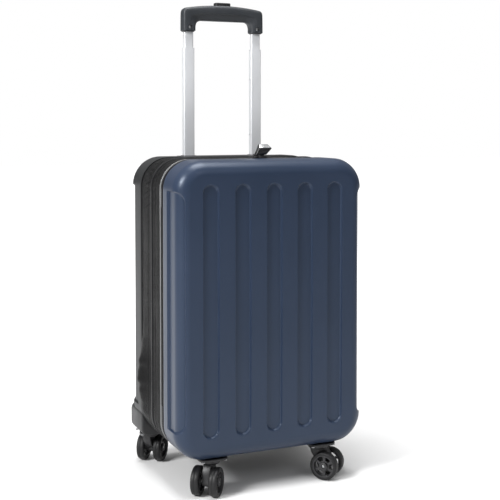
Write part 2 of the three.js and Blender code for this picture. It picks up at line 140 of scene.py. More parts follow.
# Painted glow: the floor is given an emission that is nil near the case and rises with distance along the
# line of sight, so the far floor shines white though it is no lamp.
floor_spot = floor_tree.nodes.new("ShaderNodeTexCoord")
floor_distance = floor_tree.nodes.new("ShaderNodeVectorMath")
floor_distance.operation = "DOT_PRODUCT"
floor_distance.inputs[1].default_value = (0.40, 0.917, 0)
floor_tree.links.new(floor_spot.outputs["Object"], floor_distance.inputs[0])
painted_floor_glow = floor_tree.nodes.new("ShaderNodeMapRange")
painted_floor_glow.interpolation_type = "SMOOTHSTEP"
painted_floor_glow.inputs["From Min"].default_value = 0.1
painted_floor_glow.inputs["From Max"].default_value = 2.2
painted_floor_glow.inputs["To Max"].default_value = 0.8
floor_tree.links.new(floor_distance.outputs["Value"], painted_floor_glow.inputs["Value"])
floor_tree.links.new(painted_floor_glow.outputs["Result"], floor_shader.inputs["Emission Strength"])
floor_mesh.materials.append(floor_paint)

# ------------------------------------------------------------------ front shell
# The blue half: one sheet of ABS, vacuum formed over a tool that presses five upright flutes
# into its face and steps its sides in between the corner guards. Its rim is sewn to the zip.

BODY_LOW, BODY_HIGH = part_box("back_shell")
HALF_WIDTH = BODY_HIGH.x
HALF_DEPTH = BODY_HIGH.y
MIDDLE_Z = (BODY_LOW.z + BODY_HIGH.z) / 2
HALF_HEIGHT = (BODY_HIGH.z - BODY_LOW.z) / 2
TOP_Z = BODY_HIGH.z
CORNER = 50 * MM
EDGE = 24 * MM
CORE_X, CORE_Z = HALF_WIDTH - CORNER, HALF_HEIGHT - CORNER
WALL = 2.6 * MM
FLUTES = [56 * MM * place for place in (-2, -1, 0, 1, 2)]
FLUTE_HALF = 14 * MM
FLUTE_END = 205.5 * MM
FLUTE_DEPTH = 4 * MM
FLUTE_SLOPE = 1.5 * MM
STEP_X, STEP_Z = 155 * MM, 196 * MM
STEP_ROUND = 20 * MM
STEP_DEPTH = 3.5 * MM
STEP_SLOPE = 1.4 * MM
RIM_BAND = 20 * MM
CROWN = 1.1 * MM


def eased(value):
    """0 below 0, 1 above 1, and a smooth curve between."""
    t = np.clip(value, 0, 1)
    return t * t * (3 - 2 * t)


def spaced(*stretches):
    """Rising values over (start, stop, step) stretches, each shared end only once."""
    values = []
    for start, stop, step in stretches:
        count = max(1, round((stop - start) / step))
        values.extend(np.linspace(start, stop, count + 1))
    values = np.sort(values)
    return values[np.append(True, np.diff(values) > 1e-6)]


def quads(table, around=False):
    """Faces between the rows of a table of vertex numbers; collapsed corners are dropped."""
    if around:
        table = np.hstack([table, table[:, :1]])
    corners = np.stack([table[:-1, :-1], table[1:, :-1], table[1:, 1:], table[:-1, 1:]], -1)
    faces = [list(dict.fromkeys(face)) for face in corners.reshape(-1, 4).tolist()]
    return [face for face in faces if len(face) > 2]


def flute_press(x, z):
    """How deep the flutes are pressed at a point of a face."""
    depth = np.zeros_like(x)
    for centre in FLUTES:
        beyond = np.maximum(np.abs(z) - (FLUTE_END - FLUTE_HALF), 0)
        inside = FLUTE_HALF - np.hypot(x - centre, beyond)
        depth = np.maximum(depth, FLUTE_DEPTH * eased(inside / FLUTE_SLOPE))
    return depth


def side_step(x, z, from_rim):
    """How far the sides step in, between the guards and short of the rim."""
    over_x = STEP_X + STEP_ROUND - np.abs(x)
    over_z = np.abs(z) - (STEP_Z - STEP_ROUND)
    corner = STEP_ROUND - np.hypot(np.maximum(over_x, 0), np.maximum(over_z, 0))
    inside = np.where((over_x > 0) & (over_z > 0), corner, STEP_ROUND - np.maximum(over_x, over_z))
    return STEP_DEPTH * eased(inside / STEP_SLOPE) * eased((from_rim - RIM_BAND) / STEP_SLOPE)


def shell_walk(xs, zs):
    """Once round the flat middle of a face: its grid numbers and the way outwards at each."""
    across, up = len(xs), len(zs)
    turns = np.radians(spaced((0, 12, 1.5), (12, 90, 5)))[1:-1]
    walk = [(i * up, 0, -1) for i in range(across)]
    walk += [((across - 1) * up, math.cos(t), -math.sin(t)) for t in turns[::-1]]
    walk += [((across - 1) * up + k, 1, 0) for k in range(up)]
    walk += [(across * up - 1, math.cos(t), math.sin(t)) for t in turns]
    walk += [(i * up + up - 1, 0, 1) for i in reversed(range(across))]
    walk += [(up - 1, -math.cos(t), math.sin(t)) for t in turns[::-1]]
    walk += [(k, -1, 0) for k in reversed(range(up))]
    walk += [(0, -math.cos(t), -math.sin(t)) for t in turns]
    return np.array(walk)


def shell_skin(side, rim):
    """The outside of one half, face and sides: side is -1 for the front and 1 for the back."""
    edges = [x + sign * FLUTE_HALF for x in FLUTES for sign in (-1, 1)]
    stops = [-CORE_X] + [edge for edge in edges if abs(edge) < CORE_X] + [CORE_X]
    stretches = []
    for low, high in zip(stops[:-1], stops[1:]):
        fluted = any(abs((low + high) / 2 - x) < FLUTE_HALF for x in FLUTES)
        fine = FLUTE_SLOPE + 0.6 * MM if fluted else 1 * MM
        stretches += [(low, low + fine, 0.5 * MM), (high - fine, high, 0.5 * MM)]
        stretches += [(low + fine, high - fine, (2 if fluted else 5) * MM)]
    xs = spaced(*stretches)
    fine_end = CORE_Z - 24 * MM
    zs = spaced((-CORE_Z, -fine_end, 1 * MM), (-fine_end, fine_end, 10 * MM), (fine_end, CORE_Z, 1 * MM))
    grid = np.array([(x, z) for x in xs for z in zs])
    walk = shell_walk(xs, zs)
    ends, ways = grid[walk[:, 0].astype(int)], walk[:, 1:]

    # Out over the face, round the edge and down the side to the rim: reach, fall and tilt.
    profile = [(reach, 0, 0) for reach in spaced((0, 13 * MM, 1 * MM), (13 * MM, CORNER - EDGE, 4 * MM))[1:]]
    for tilt in np.radians(spaced((0, 16, 4), (16, 34, 1), (34, 90, 7)))[1:]:
        profile.append((CORNER - EDGE + EDGE * math.sin(tilt), EDGE * (1 - math.cos(tilt)), tilt))
    length = HALF_DEPTH - abs(rim)
    band = length - RIM_BAND
    falls = spaced(
        (EDGE, band - 4 * MM, 7 * MM), (band - 4 * MM, band + 1 * MM, 0.6 * MM),
        (band + 1 * MM, length - 2 * MM, 5 * MM), (length - 2 * MM, length, 1 * MM),
    )
    profile += [(CORNER, fall, math.pi / 2) for fall in falls[1:]]

    level = np.zeros(len(grid))
    rows, tilts, outs, drops = [grid], [level], [np.zeros((len(grid), 2))], [level]
    for reach, fall, tilt in profile:
        rows.append(ends + reach * ways)
        outs.append(ways)
        tilts.append(np.full(len(ways), tilt))
        drops.append(np.full(len(ways), fall))
    flat, way = np.vstack(rows), np.vstack(outs)
    tilt, drop = np.concatenate(tilts), np.concatenate(drops)
    x, z = flat[:, 0], flat[:, 1]
    step = side_step(x, z, length - drop)
    swell = CROWN * np.clip(1 - (x / HALF_WIDTH) ** 2, 0, 1) * np.clip(1 - (z / HALF_HEIGHT) ** 2, 0, 1)
    rim_roll = 0.5 * MM * eased((drop - length + 2 * MM) / (2 * MM))
    inwards = step + rim_roll
    depth = HALF_DEPTH - drop - inwards * np.cos(tilt) - flute_press(x, z) + swell * np.cos(tilt)
    pushed = flat - way * (inwards * np.sin(tilt))[:, None]
    verts = np.column_stack([pushed[:, 0], side * depth, MIDDLE_Z + pushed[:, 1]])

    faces = quads(np.arange(len(grid)).reshape(len(xs), len(zs)))
    rings = np.arange(len(grid), len(verts)).reshape(len(profile), len(walk))
    faces += quads(np.vstack([walk[:, 0].astype(int), rings]), around=True)
    return verts, faces


def finish(name, colours, rough, cloud=9, grain=1600, lift=0.02 * MM, stretch=(1, 1, 1), sockets=()):
    """A finish whose colour and roughness drift in soft clouds, with a fine raised grain.

    `grain` and `cloud` are features per metre, and `stretch` draws the grain out."""
    material = bpy.data.materials.new(name)
    material.use_nodes = True
    tree = material.node_tree
    shader = tree.nodes["Principled BSDF"]
    for socket, value in dict(sockets).items():
        shader.inputs[socket].default_value = value
    place = tree.nodes.new("ShaderNodeTexCoord").outputs["Object"]
    clouds = tree.nodes.new("ShaderNodeTexNoise")
    clouds.inputs["Scale"].default_value = cloud
    clouds.inputs["Detail"].default_value = 5
    tree.links.new(place, clouds.inputs["Vector"])
    tones = tree.nodes.new("ShaderNodeValToRGB")
    for stop, where, colour in zip(tones.color_ramp.elements, (0.32, 0.68), colours):
        stop.position = where
        stop.color = (*colour, 1)
    tree.links.new(clouds.outputs["Fac"], tones.inputs["Fac"])
    tree.links.new(tones.outputs["Color"], shader.inputs["Base Color"])
    sheen = tree.nodes.new("ShaderNodeMapRange")
    sheen.inputs["From Min"].default_value = 0.3
    sheen.inputs["From Max"].default_value = 0.7
    sheen.inputs["To Min"].default_value = rough[0]
    sheen.inputs["To Max"].default_value = rough[1]
    tree.links.new(clouds.outputs["Fac"], sheen.inputs["Value"])
    tree.links.new(sheen.outputs["Result"], shader.inputs["Roughness"])
    drawn = tree.nodes.new("ShaderNodeMapping")
    drawn.inputs["Scale"].default_value = stretch
    tree.links.new(place, drawn.inputs["Vector"])
    fine = tree.nodes.new("ShaderNodeTexNoise")
    fine.inputs["Scale"].default_value = grain
    fine.inputs["Detail"].default_value = 3
    tree.links.new(drawn.outputs["Vector"], fine.inputs["Vector"])
    raised = tree.nodes.new("ShaderNodeBump")
    raised.name = "grain"
    raised.inputs["Distance"].default_value = lift
    tree.links.new(fine.outputs["Fac"], raised.inputs["Height"])
    tree.links.new(raised.outputs["Normal"], shader.inputs["Normal"])
    return material


def dress(piece, material, body, stands_for=(), sharp=40):
    """Faces turned outwards, smooth with its sharp edges kept, painted, and riding on a body."""
    mesh = piece.data
    shape = bmesh.new()
    shape.from_mesh(mesh)
    bmesh.ops.recalc_face_normals(shape, faces=shape.faces)
    shape.to_mesh(mesh)
    shape.free()
    mesh.shade_smooth()
    mesh.set_sharp_from_angle(angle=math.radians(sharp))
    mesh.materials.clear()
    mesh.materials.append(material)
    if body:
        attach(piece, body)
    if stands_for:
        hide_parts(*stands_for)
    return piece


def raw_piece(name, shape):
    """A bare mesh object from (vertices, faces)."""
    mesh = bpy.data.meshes.new(name)
    mesh.from_pydata(np.asarray(shape[0]).tolist(), [], shape[1])
    piece = bpy.data.objects.new(name, mesh)
    scene.collection.objects.link(piece)
    return piece


def settle(piece):
    """Makes the piece's modifiers part of its mesh."""
    graph = bpy.context.evaluated_depsgraph_get()
    graph.update()
    finished = bpy.data.meshes.new_from_object(piece.evaluated_get(graph))
    piece.modifiers.clear()
    piece.data = finished
    return piece


def thicken(piece, wall, middle=(0, 0, MIDDLE_Z)):
    """Gives an open skin a wall on the side towards `middle`."""
    facing = sum((face.center - Vector(middle)).dot(face.normal) for face in piece.data.polygons)
    modifier = piece.modifiers.new("wall", "SOLIDIFY")
    modifier.thickness = wall
    modifier.offset = -1 if facing > 0 else 1
    return settle(piece)


BLUE_ABS = finish(
    "blue_abs", [(0.016, 0.026, 0.050), (0.020, 0.031, 0.058)], (0.30, 0.36),
    cloud=5, grain=1400, lift=0.03 * MM,
    sockets={"Specular IOR Level": 0.36, "Specular Tint": (0.78, 0.87, 1.0, 1.0)},
)
front_skin = thicken(raw_piece("front_shell_skin", shell_skin(-1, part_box("front_shell")[1].y)), WALL)
dress(front_skin, BLUE_ABS, "front_half", ["front_shell"], sharp=62)

# ------------------------------------------------------------------ back shell
# The grey half: the same sheet and tool as the front, in gloss, with an opening cut in its top
# for the trolley. Castor brackets are screwed to its bottom corners.


def rounded(x, y, width, depth, radius, steps=8):
    """The outline of a rectangle with round corners about (x, y)."""
    points = []
    for quarter, (sx, sy) in enumerate(((1, 1), (-1, 1), (-1, -1), (1, -1))):
        corner = (x + sx * (width / 2 - radius), y + sy * (depth / 2 - radius))
        for step in range(steps + 1):
            turn = math.pi / 2 * (quarter + step / steps)
            points.append((corner[0] + radius * math.cos(turn), corner[1] + radius * math.sin(turn)))
    return points


def plate(outlines, low, high, edge=0.0, steps=3):
    """A slab from height low to high with rounded edges: an outline, and outlines of its holes."""
    curve = bpy.data.curves.new("plate", "CURVE")
    curve.dimensions = "2D"
    curve.fill_mode = "BOTH"
    curve.extrude = (high - low) / 2 - edge
    curve.bevel_depth = edge
    curve.offset = -edge
    curve.bevel_resolution = steps
    for outline in outlines:
        spline = curve.splines.new("POLY")
        spline.points.add(len(outline) - 1)
        spline.use_cyclic_u = True
        for point, (x, y) in zip(spline.points, outline):
            point.co = (x, y, 0, 1)
    maker = bpy.data.objects.new("plate", curve)
    scene.collection.objects.link(maker)
    graph = bpy.context.evaluated_depsgraph_get()
    graph.update()
    mesh = bpy.data.meshes.new_from_object(maker.evaluated_get(graph))
    bpy.data.objects.remove(maker)
    shape = bmesh.new()
    shape.from_mesh(mesh)
    bmesh.ops.remove_doubles(shape, verts=shape.verts, dist=0.005 * MM)
    shape.to_mesh(mesh)
    shape.free()
    verts = np.array([vertex.co for vertex in mesh.vertices])
    verts[:, 2] += (low + high) / 2
    return verts, [list(face.vertices) for face in mesh.polygons]


def moved(shape, matrix):
    """The same shape, put somewhere else."""
    turned = np.array(matrix.to_3x3())
    return np.asarray(shape[0]) @ turned.T + np.array(matrix.translation), shape[1]


def upright(outlines, near, far, edge=0.0, steps=3):
    """A plate drawn in X and Z, from the depth near to the depth far."""
    return moved(plate(outlines, -far, -near, edge, steps), Matrix.Rotation(math.pi / 2, 4, "X"))


def joined(*shapes):
    """Several shapes as one."""
    verts, faces, count = [], [], 0
    for points, polygons in shapes:
        verts.append(np.asarray(points))
        faces += [[count + number for number in face] for face in polygons]
        count += len(points)
    return np.vstack(verts), faces


def cut(piece, shape):
    """Cuts a closed shape out of a piece."""
    tool = raw_piece("cutter", shape)
    modifier = piece.modifiers.new("cut", "BOOLEAN")
    modifier.object = tool
    modifier.solver = "EXACT"
    settle(piece)
    bpy.data.objects.remove(tool)
    return piece


BEZEL_LOW, BEZEL_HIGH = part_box("trolley_bezel")
TROLLEY_Y = (BEZEL_LOW.y + BEZEL_HIGH.y) / 2
BEZEL_WIDTH = BEZEL_HIGH.x - BEZEL_LOW.x
BEZEL_DEPTH = BEZEL_HIGH.y - BEZEL_LOW.y
GREY_ABS = finish(
    "grey_abs", [(0.013, 0.014, 0.015), (0.018, 0.019, 0.020)], (0.36, 0.44),
    cloud=4, grain=900, lift=0.02 * MM, sockets={"Specular IOR Level": 0.20},
)
back_skin = thicken(raw_piece("back_shell_skin", shell_skin(1, BODY_LOW.y)), WALL)
opening_outline = rounded(0, TROLLEY_Y, BEZEL_WIDTH + 0.8 * MM, BEZEL_DEPTH + 0.8 * MM, 5.4 * MM)
cut(back_skin, plate([opening_outline], TOP_Z - 30 * MM, TOP_Z + 30 * MM))
dress(back_skin, GREY_ABS, "rear_half", ["back_shell"], sharp=62)

# ------------------------------------------------------------------ gusset
# The soft wall between the shells: black polyester cloth in two bands, with the expansion zip
# sewn between them. Let out, it bellies over the back shell's rim and gathers at a corner.


def outline_dense():
    """The case's outline in small steps, clockwise from the middle of its left side."""
    here, heading, walked = complex(-HALF_WIDTH, 0), 1j, 0.0
    places, ways, distances = [here], [heading * 1j], [0.0]
    for straight in (CORE_Z, 2 * CORE_X, 2 * CORE_Z, 2 * CORE_X, CORE_Z):
        here += heading * straight
        walked += straight
        places.append(here)
        ways.append(heading * 1j)
        distances.append(walked)
        if len(places) > 40 * 4:
            break
        centre = here - heading * 1j * CORNER
        for step in range(1, 41):
            way = heading * 1j * complex(math.cos(math.pi / 80 * step), -math.sin(math.pi / 80 * step))
            places.append(centre + way * CORNER)
            ways.append(way)
            distances.append(walked + CORNER * math.pi / 80 * step)
        here, heading, walked = places[-1], heading * -1j, distances[-1]
    return np.array(distances), np.array(places), np.array(ways)


OUTLINE = outline_dense()
PERIMETER = OUTLINE[0][-1]


def on_outline(distances, values):
    """Values known along the outline, read off at other distances."""
    across = np.interp(distances, OUTLINE[0], values.real)
    return across + 1j * np.interp(distances, OUTLINE[0], values.imag)


def swept(distances, out, depth, closed=True, ends=False):
    """A skin that follows the case's outline: out and depth are tables, one row a distance."""
    place, way = on_outline(distances, OUTLINE[1]), on_outline(distances, OUTLINE[2])
    spot = place[:, None] + (way / np.abs(way))[:, None] * out
    verts = np.stack([spot.real, np.broadcast_to(depth, out.shape), MIDDLE_Z + spot.imag], -1)
    table = np.arange(out.size).reshape(out.shape)
    faces = quads(np.vstack([table, table[:1]]) if closed else table, around=ends)
    if ends and not closed:
        faces += [table[0].tolist(), table[-1].tolist()]
    return verts.reshape(-1, 3), faces


def bell(value, centre, width):
    """A smooth hump, 1 at its centre."""
    return np.exp(-((value - centre) / width) ** 2)


def ripple(distances, *waves):
    """Waves of (length, size, phase) added together."""
    return sum(size * np.sin(2 * math.pi * distances / length + phase) for length, size, phase in waves)


TOP_LEFT = CORE_Z + CORNER * math.pi / 4           # walked to the middle of the top left corner
LOW_LEFT = PERIMETER - 136 * MM                    # walked to the belly low on the left side


def gusset_cloth(near, far, columns, belly, pleats):
    """A band of cloth sewn along both edges, slack between them."""
    rounds = np.linspace(0, PERIMETER, 761)[:-1]
    depths = np.linspace(near, far, columns)
    s, y = np.meshgrid(rounds, depths, indexing="ij")
    across = (y - near) / (far - near)
    slack = np.sin(math.pi * across) ** 0.7
    drift = ripple(s, (0.31, 0.5, 0.4), (0.147, 0.35, 2.1), (0.083, 0.2, 4.0), (0.047, 0.12, 1.0))
    out = -1.6 * MM + slack * (1.0 + 0.8 * drift) * MM
    for place, size, width in pleats:
        wander = ripple(s, (0.4, 0.7, 1.3), (0.19, 0.4, 0.2)) * MM
        out -= size * bell(y, place + wander, width)
    gather = bell(s, TOP_LEFT - 28 * MM, 52 * MM) * bell(y, 12 * MM, 26 * MM) * slack
    slant = s + 0.35 * (y - 10 * MM)
    out += gather * ripple(slant, (12.5 * MM, 1.5, 0), (7.9 * MM, 0.8, 1.7), (27 * MM, 0.9, 0.6)) * MM
    corners = [CORE_Z + CORNER * math.pi / 4]
    for leg in (2 * CORE_X, 2 * CORE_Z, 2 * CORE_X):
        corners.append(corners[-1] + leg + CORNER * math.pi / 2)
    pucker = sum(bell(s, corner, 34 * MM) for corner in corners)
    out += pucker * slack * ripple(s - 0.2 * y, (8.7 * MM, 0.30, 0.5), (13 * MM, 0.25, 2.2)) * MM
    swell = bell(s, LOW_LEFT, 52 * MM) * bell(y, 46 * MM, 17 * MM) * belly
    creases = 1 + 0.10 * ripple(s, (31 * MM, 1, 0.3), (17 * MM, 0.6, 1.9))
    out += swell * creases * eased(np.minimum(across, 1 - across) / 0.12)
    return swept(rounds, out, y)


def woven(name, colours, rough, pitch, lift, sockets=()):
    """A plain weave of the given thread pitch, over the drift of colour that `finish` gives."""
    material = finish(name, colours, rough, cloud=14, grain=700, lift=lift, sockets=sockets)
    tree = material.node_tree
    place = tree.nodes.new("ShaderNodeTexCoord")
    split = tree.nodes.new("ShaderNodeSeparateXYZ")
    tree.links.new(place.outputs["Object"], split.inputs["Vector"])
    along = tree.nodes.new("ShaderNodeMath")
    tree.links.new(split.outputs["X"], along.inputs[0])
    tree.links.new(split.outputs["Z"], along.inputs[1])
    threads = []
    for source in (along.outputs["Value"], split.outputs["Y"]):
        turns = tree.nodes.new("ShaderNodeMath")
        turns.operation = "MULTIPLY"
        turns.inputs[1].default_value = 2 * math.pi / pitch
        tree.links.new(source, turns.inputs[0])
        wave = tree.nodes.new("ShaderNodeMath")
        wave.operation = "SINE"
        tree.links.new(turns.outputs["Value"], wave.inputs[0])
        threads.append(wave.outputs["Value"])
    crossing = tree.nodes.new("ShaderNodeMath")
    crossing.operation = "MULTIPLY"
    tree.links.new(threads[0], crossing.inputs[0])
    tree.links.new(threads[1], crossing.inputs[1])
    tree.links.new(crossing.outputs["Value"], tree.nodes["grain"].inputs["Height"])
    return material


CLOTH = woven(
    "black_polyester", [(0.0022, 0.0022, 0.0025), (0.004, 0.004, 0.0045)], (0.42, 0.56), 0.9 * MM, 0.14 * MM,
    sockets={"Specular IOR Level": 0.13},
)
CLOTH_WALL = 0.7 * MM
for name, columns, belly, pleats in (
    ("gusset_front", 34, 0, [(-16 * MM, 0.9 * MM, 2.2 * MM), (-7 * MM, 0.6 * MM, 1.8 * MM)]),
    ("gusset_rear", 44, 12 * MM, [(20 * MM, 0.5 * MM, 2.0 * MM)]),
):
    low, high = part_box(name)
    cloth = raw_piece(name + "_cloth", gusset_cloth(low.y, high.y, columns, belly, pleats))
    thicken(cloth, CLOTH_WALL)
    dress(cloth, CLOTH, "rear_half", [name])
expansion_low, expansion_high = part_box("expansion_zip")


def zip_tape(near, far, start=0.0, stop=None):
    """A woven tape that follows the outline between two distances, or all the way round."""
    ring = stop is None
    stretch = np.linspace(start, PERIMETER if ring else stop, 521)
    if ring:
        stretch = stretch[:-1]
    width = far - near
    section = [(-2.5, 0), (-2.5, 1), (-1.45, 1), (-1.3, 0.97), (-1.15, 0.5), (-1.3, 0.03), (-1.45, 0)]
    out = np.array([[reach * MM for reach, share in section]] * len(stretch))
    depth = np.array([[near + width * share for reach, share in section]] * len(stretch))
    table = np.arange(out.size).reshape(out.shape)
    verts, _ = swept(stretch, out, depth, closed=ring)
    faces = quads(np.vstack([table, table[:1]]) if ring else table, around=True)
    if not ring:
        faces += [table[0].tolist(), table[-1].tolist()]
    return verts, faces


def zip_teeth(centre, lean, start, stop, pitch, shift=0.0):
    """A row of moulded teeth along the outline; `lean` points them forwards (-1) or back (1)."""
    count = int((stop - start) / pitch)
    spots = start + pitch * (np.arange(count) + 0.5 + shift)
    foot, tip, half = -1.4 * MM, -0.1 * MM, 0.62 * MM
    corners = [(-1.0, foot, 2.6), (1.0, foot, 2.6), (0.75, foot, -0.9), (-0.75, foot, -0.9)]
    corners += [(-0.85, tip, 2.2), (0.85, tip, 2.2), (0.6, tip, -0.7), (-0.6, tip, -0.7)]
    out = np.array([[corner[1]] for corner in corners] * count)
    along = np.array([spot + half * corner[0] for spot in spots for corner in corners])
    depth = np.array([[centre - lean * corner[2] * MM] for corner in corners] * count)
    verts, _ = swept(along, out, depth, closed=False)
    block = [(0, 1, 2, 3), (4, 5, 6, 7), (0, 1, 5, 4), (1, 2, 6, 5), (2, 3, 7, 6), (3, 0, 4, 7)]
    faces = [[8 * tooth + number for number in face] for tooth in range(count) for face in block]
    return verts, faces


TAPE = woven(
    "zip_tape", [(0.003, 0.003, 0.0035), (0.005, 0.005, 0.0055)], (0.6, 0.75), 0.7 * MM, 0.12 * MM,
    sockets={"Specular IOR Level": 0.14},
)
TEETH = finish(
    "zip_teeth", [(0.016, 0.016, 0.018), (0.024, 0.024, 0.026)], (0.28, 0.40),
    cloud=30, grain=2500, lift=0.01 * MM,
)
expansion = raw_piece("expansion_tape", zip_tape(expansion_low.y, expansion_high.y))
dress(expansion, TAPE, "rear_half", ["expansion_zip"])
coil_y = (expansion_low.y + expansion_high.y) / 2
coil = raw_piece("expansion_coil", joined(
    zip_teeth(coil_y, 1, 0, PERIMETER, 3 * MM), zip_teeth(coil_y, -1, 0, PERIMETER, 3 * MM, 0.5),
))
dress(coil, TEETH, "rear_half")

# ------------------------------------------------------------------ piping
# A cord covered in pale grey cloth, sewn in between the zip and the gusset.

piping_low, piping_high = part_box("piping")
bead_y = (piping_low.y + piping_high.y) / 2
bead = (piping_high.y - piping_low.y) / 2
turns = np.linspace(0, 2 * math.pi, 17)[:-1]
rounds = np.linspace(0, PERIMETER, 801)[:-1]
plump = 1 + 0.03 * ripple(rounds, (11 * MM, 1, 0), (37 * MM, 0.8, 1.1), (0.21, 1.2, 2.0))[:, None]
bead_out = -0.3 * MM - bead + bead * plump * np.cos(turns)[None, :]
bead_depth = bead_y + bead * 0.97 * np.sin(turns)[None, :] * plump
table = np.arange(bead_out.size).reshape(bead_out.shape)
PIPING = woven(
    "piping_cloth", [(0.13, 0.133, 0.136), (0.18, 0.183, 0.187)], (0.55, 0.7), 0.8 * MM, 0.12 * MM,
    sockets={"Sheen Weight": 0.1},
)
bead_faces = quads(np.vstack([table, table[:1]]), True)
piping = raw_piece("piping_bead", (swept(rounds, bead_out, bead_depth)[0], bead_faces))
dress(piping, PIPING, "rear_half", ["piping"])

# ------------------------------------------------------------------ main zip
# A moulded tooth zip that runs round the case from hinge to hinge. Each half is woven tape
# with its teeth moulded on, one sewn to the front shell's rim and one to the rear half.

HINGE_LOW, HINGE_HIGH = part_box("hinge_strip")
ZIP_START = HINGE_HIGH.z - MIDDLE_Z + 0.3 * MM
ZIP_STOP = PERIMETER - ZIP_START
SPLIT_Y = (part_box("zip_tape_front")[1].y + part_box("zip_tape_rear")[0].y) / 2
for half, lean, shift in (("front", 1, 0.0), ("rear", -1, 0.5)):
    low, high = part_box("zip_tape_" + half)
    tape = raw_piece(f"zip_tape_{half}_woven", zip_tape(low.y, high.y, ZIP_START, ZIP_STOP))
    dress(tape, TAPE, half + "_half", ["zip_tape_" + half])
    teeth = raw_piece(f"zip_teeth_{half}", zip_teeth(SPLIT_Y, lean, ZIP_START, ZIP_STOP, 3 * MM, shift))
    dress(teeth, TEETH, half + "_half")

# ------------------------------------------------------------------ hinge strip
# The strip of doubled cloth down the left side that the case opens on, sewn to both rims.

fold_y = np.linspace(HINGE_LOW.y, HINGE_HIGH.y, 15)
fold_z = np.linspace(HINGE_LOW.z, HINGE_HIGH.z, 110)
zz, yy = np.meshgrid(fold_z, fold_y, indexing="ij")
groove = 0.7 * MM * bell(yy, SPLIT_Y, 1.5 * MM)
hinge_x = HINGE_LOW.x + 0.1 * MM + groove + 0.15 * MM * np.sin(zz / (9 * MM)) * bell(yy, SPLIT_Y, 4 * MM)
hinge_skin = (np.stack([hinge_x, yy, zz], -1).reshape(-1, 3), quads(np.arange(zz.size).reshape(zz.shape)))
hinge_strip = thicken(raw_piece("hinge_cloth", hinge_skin), 1.2 * MM)
dress(hinge_strip, CLOTH, None, ["hinge_strip"])
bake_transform(hinge_strip)

# ------------------------------------------------------------------ sliders and pulls
# Two zinc sliders meet at the top of the case. The left one carries a chunky wedge of glossy
# black plastic with a steel face let into its slope; the right one a flat tab that lies back.

SLIDER_METAL = finish(
    "slider_metal", [(0.03, 0.03, 0.033), (0.05, 0.05, 0.053)], (0.25, 0.38),
    cloud=60, grain=3000, lift=0.01 * MM, sockets={"Metallic": 0.85},
)
PULL_PLASTIC = finish(
    "pull_plastic", [(0.008, 0.008, 0.009), (0.014, 0.014, 0.016)], (0.12, 0.20),
    cloud=50, grain=2200, lift=0.008 * MM, sockets={"Specular IOR Level": 0.6},
)
FACE_STEEL = finish(
    "polished_steel", [(0.60, 0.61, 0.62), (0.72, 0.73, 0.74)], (0.16, 0.24),
    cloud=80, grain=2400, lift=0.004 * MM, stretch=(0.05, 1, 1), sockets={"Metallic": 1.0},
)
TURNED_TO_X = Matrix.Rotation(math.pi / 2, 4, "Y")
TURNED_TO_Y = Matrix.Rotation(math.pi / 2, 4, "X")


def drum(radius, near, far, steps=24):
    """A round pin along Z."""
    circle = [(radius * math.cos(2 * math.pi * k / steps), radius * math.sin(2 * math.pi * k / steps))
              for k in range(steps)]
    return plate([circle], near, far)


def slider_shape(low, high, bridge_rise):
    """A slider between two corners: two plates on a neck, and a bridge over the top."""
    x, y = (low.x + high.x) / 2, (low.y + high.y) / 2
    length, width = high.x - low.x, high.y - low.y
    base = plate([rounded(x, y, length, width, 3.4 * MM)], low.z, low.z + 1.5 * MM, 0.5 * MM)
    crown = plate([rounded(x, y, length - 2.4 * MM, width - 2.6 * MM, 3 * MM)],
                  low.z + 1.3 * MM, high.z - 0.4 * MM, 0.7 * MM)
    foot, reach = high.z - 1.4 * MM, 4.6 * MM
    arch = [(x - reach, foot)]
    for step in range(17):
        turn = math.pi * (1 - step / 16)
        arch.append((x + reach * math.cos(turn), foot + 0.8 * MM + bridge_rise * math.sin(turn)))
    arch.append((x + reach, foot))
    arch += [(px * 0.72 + x * 0.28, pz - 1.2 * MM) for px, pz in reversed(arch)]
    bridge = upright([arch], y - 1.4 * MM, y + 1.4 * MM, 0.35 * MM)
    return joined(base, crown, bridge)


def softened(piece, radius):
    """Rounds the edges of a piece."""
    modifier = piece.modifiers.new("edges", "BEVEL")
    modifier.width = radius
    modifier.segments = 4
    modifier.limit_method = "ANGLE"
    modifier.angle_limit = math.radians(25)
    return settle(piece)


# The wedge in millimetres from its pivot: half its width, and its height at the front and back.
WEDGE_HALF, WEDGE_FRONT, WEDGE_BACK = 5, 12, 19
WEDGE_HEEL = (-1, 1)                    # lowest corner, by the pivot
WEDGE_SHOULDER = (6.5, WEDGE_BACK)      # top corner above it
NOTCH_REACH, NOTCH_HALF = 4.9 * MM, 1.9 * MM


def wedge_body():
    """The wedge from its pivot: a side view whose top slopes down to the front."""
    foot = [WEDGE_HEEL, (18, 1), (28.4, 11.7)]
    front = foot + [(3.6, WEDGE_FRONT)]
    back = foot + [(24, WEDGE_BACK), WEDGE_SHOULDER]
    verts = [(x, -WEDGE_HALF, z) for x, z in front] + [(x, WEDGE_HALF, z) for x, z in back]
    faces = [(0, 1, 2, 3), (4, 8, 7, 6, 5), (0, 4, 5, 1), (1, 5, 6, 2)]
    faces += [(2, 6, 7), (3, 2, 7, 8), (0, 3, 8, 4)]
    return np.array(verts) * MM, [list(face) for face in faces]


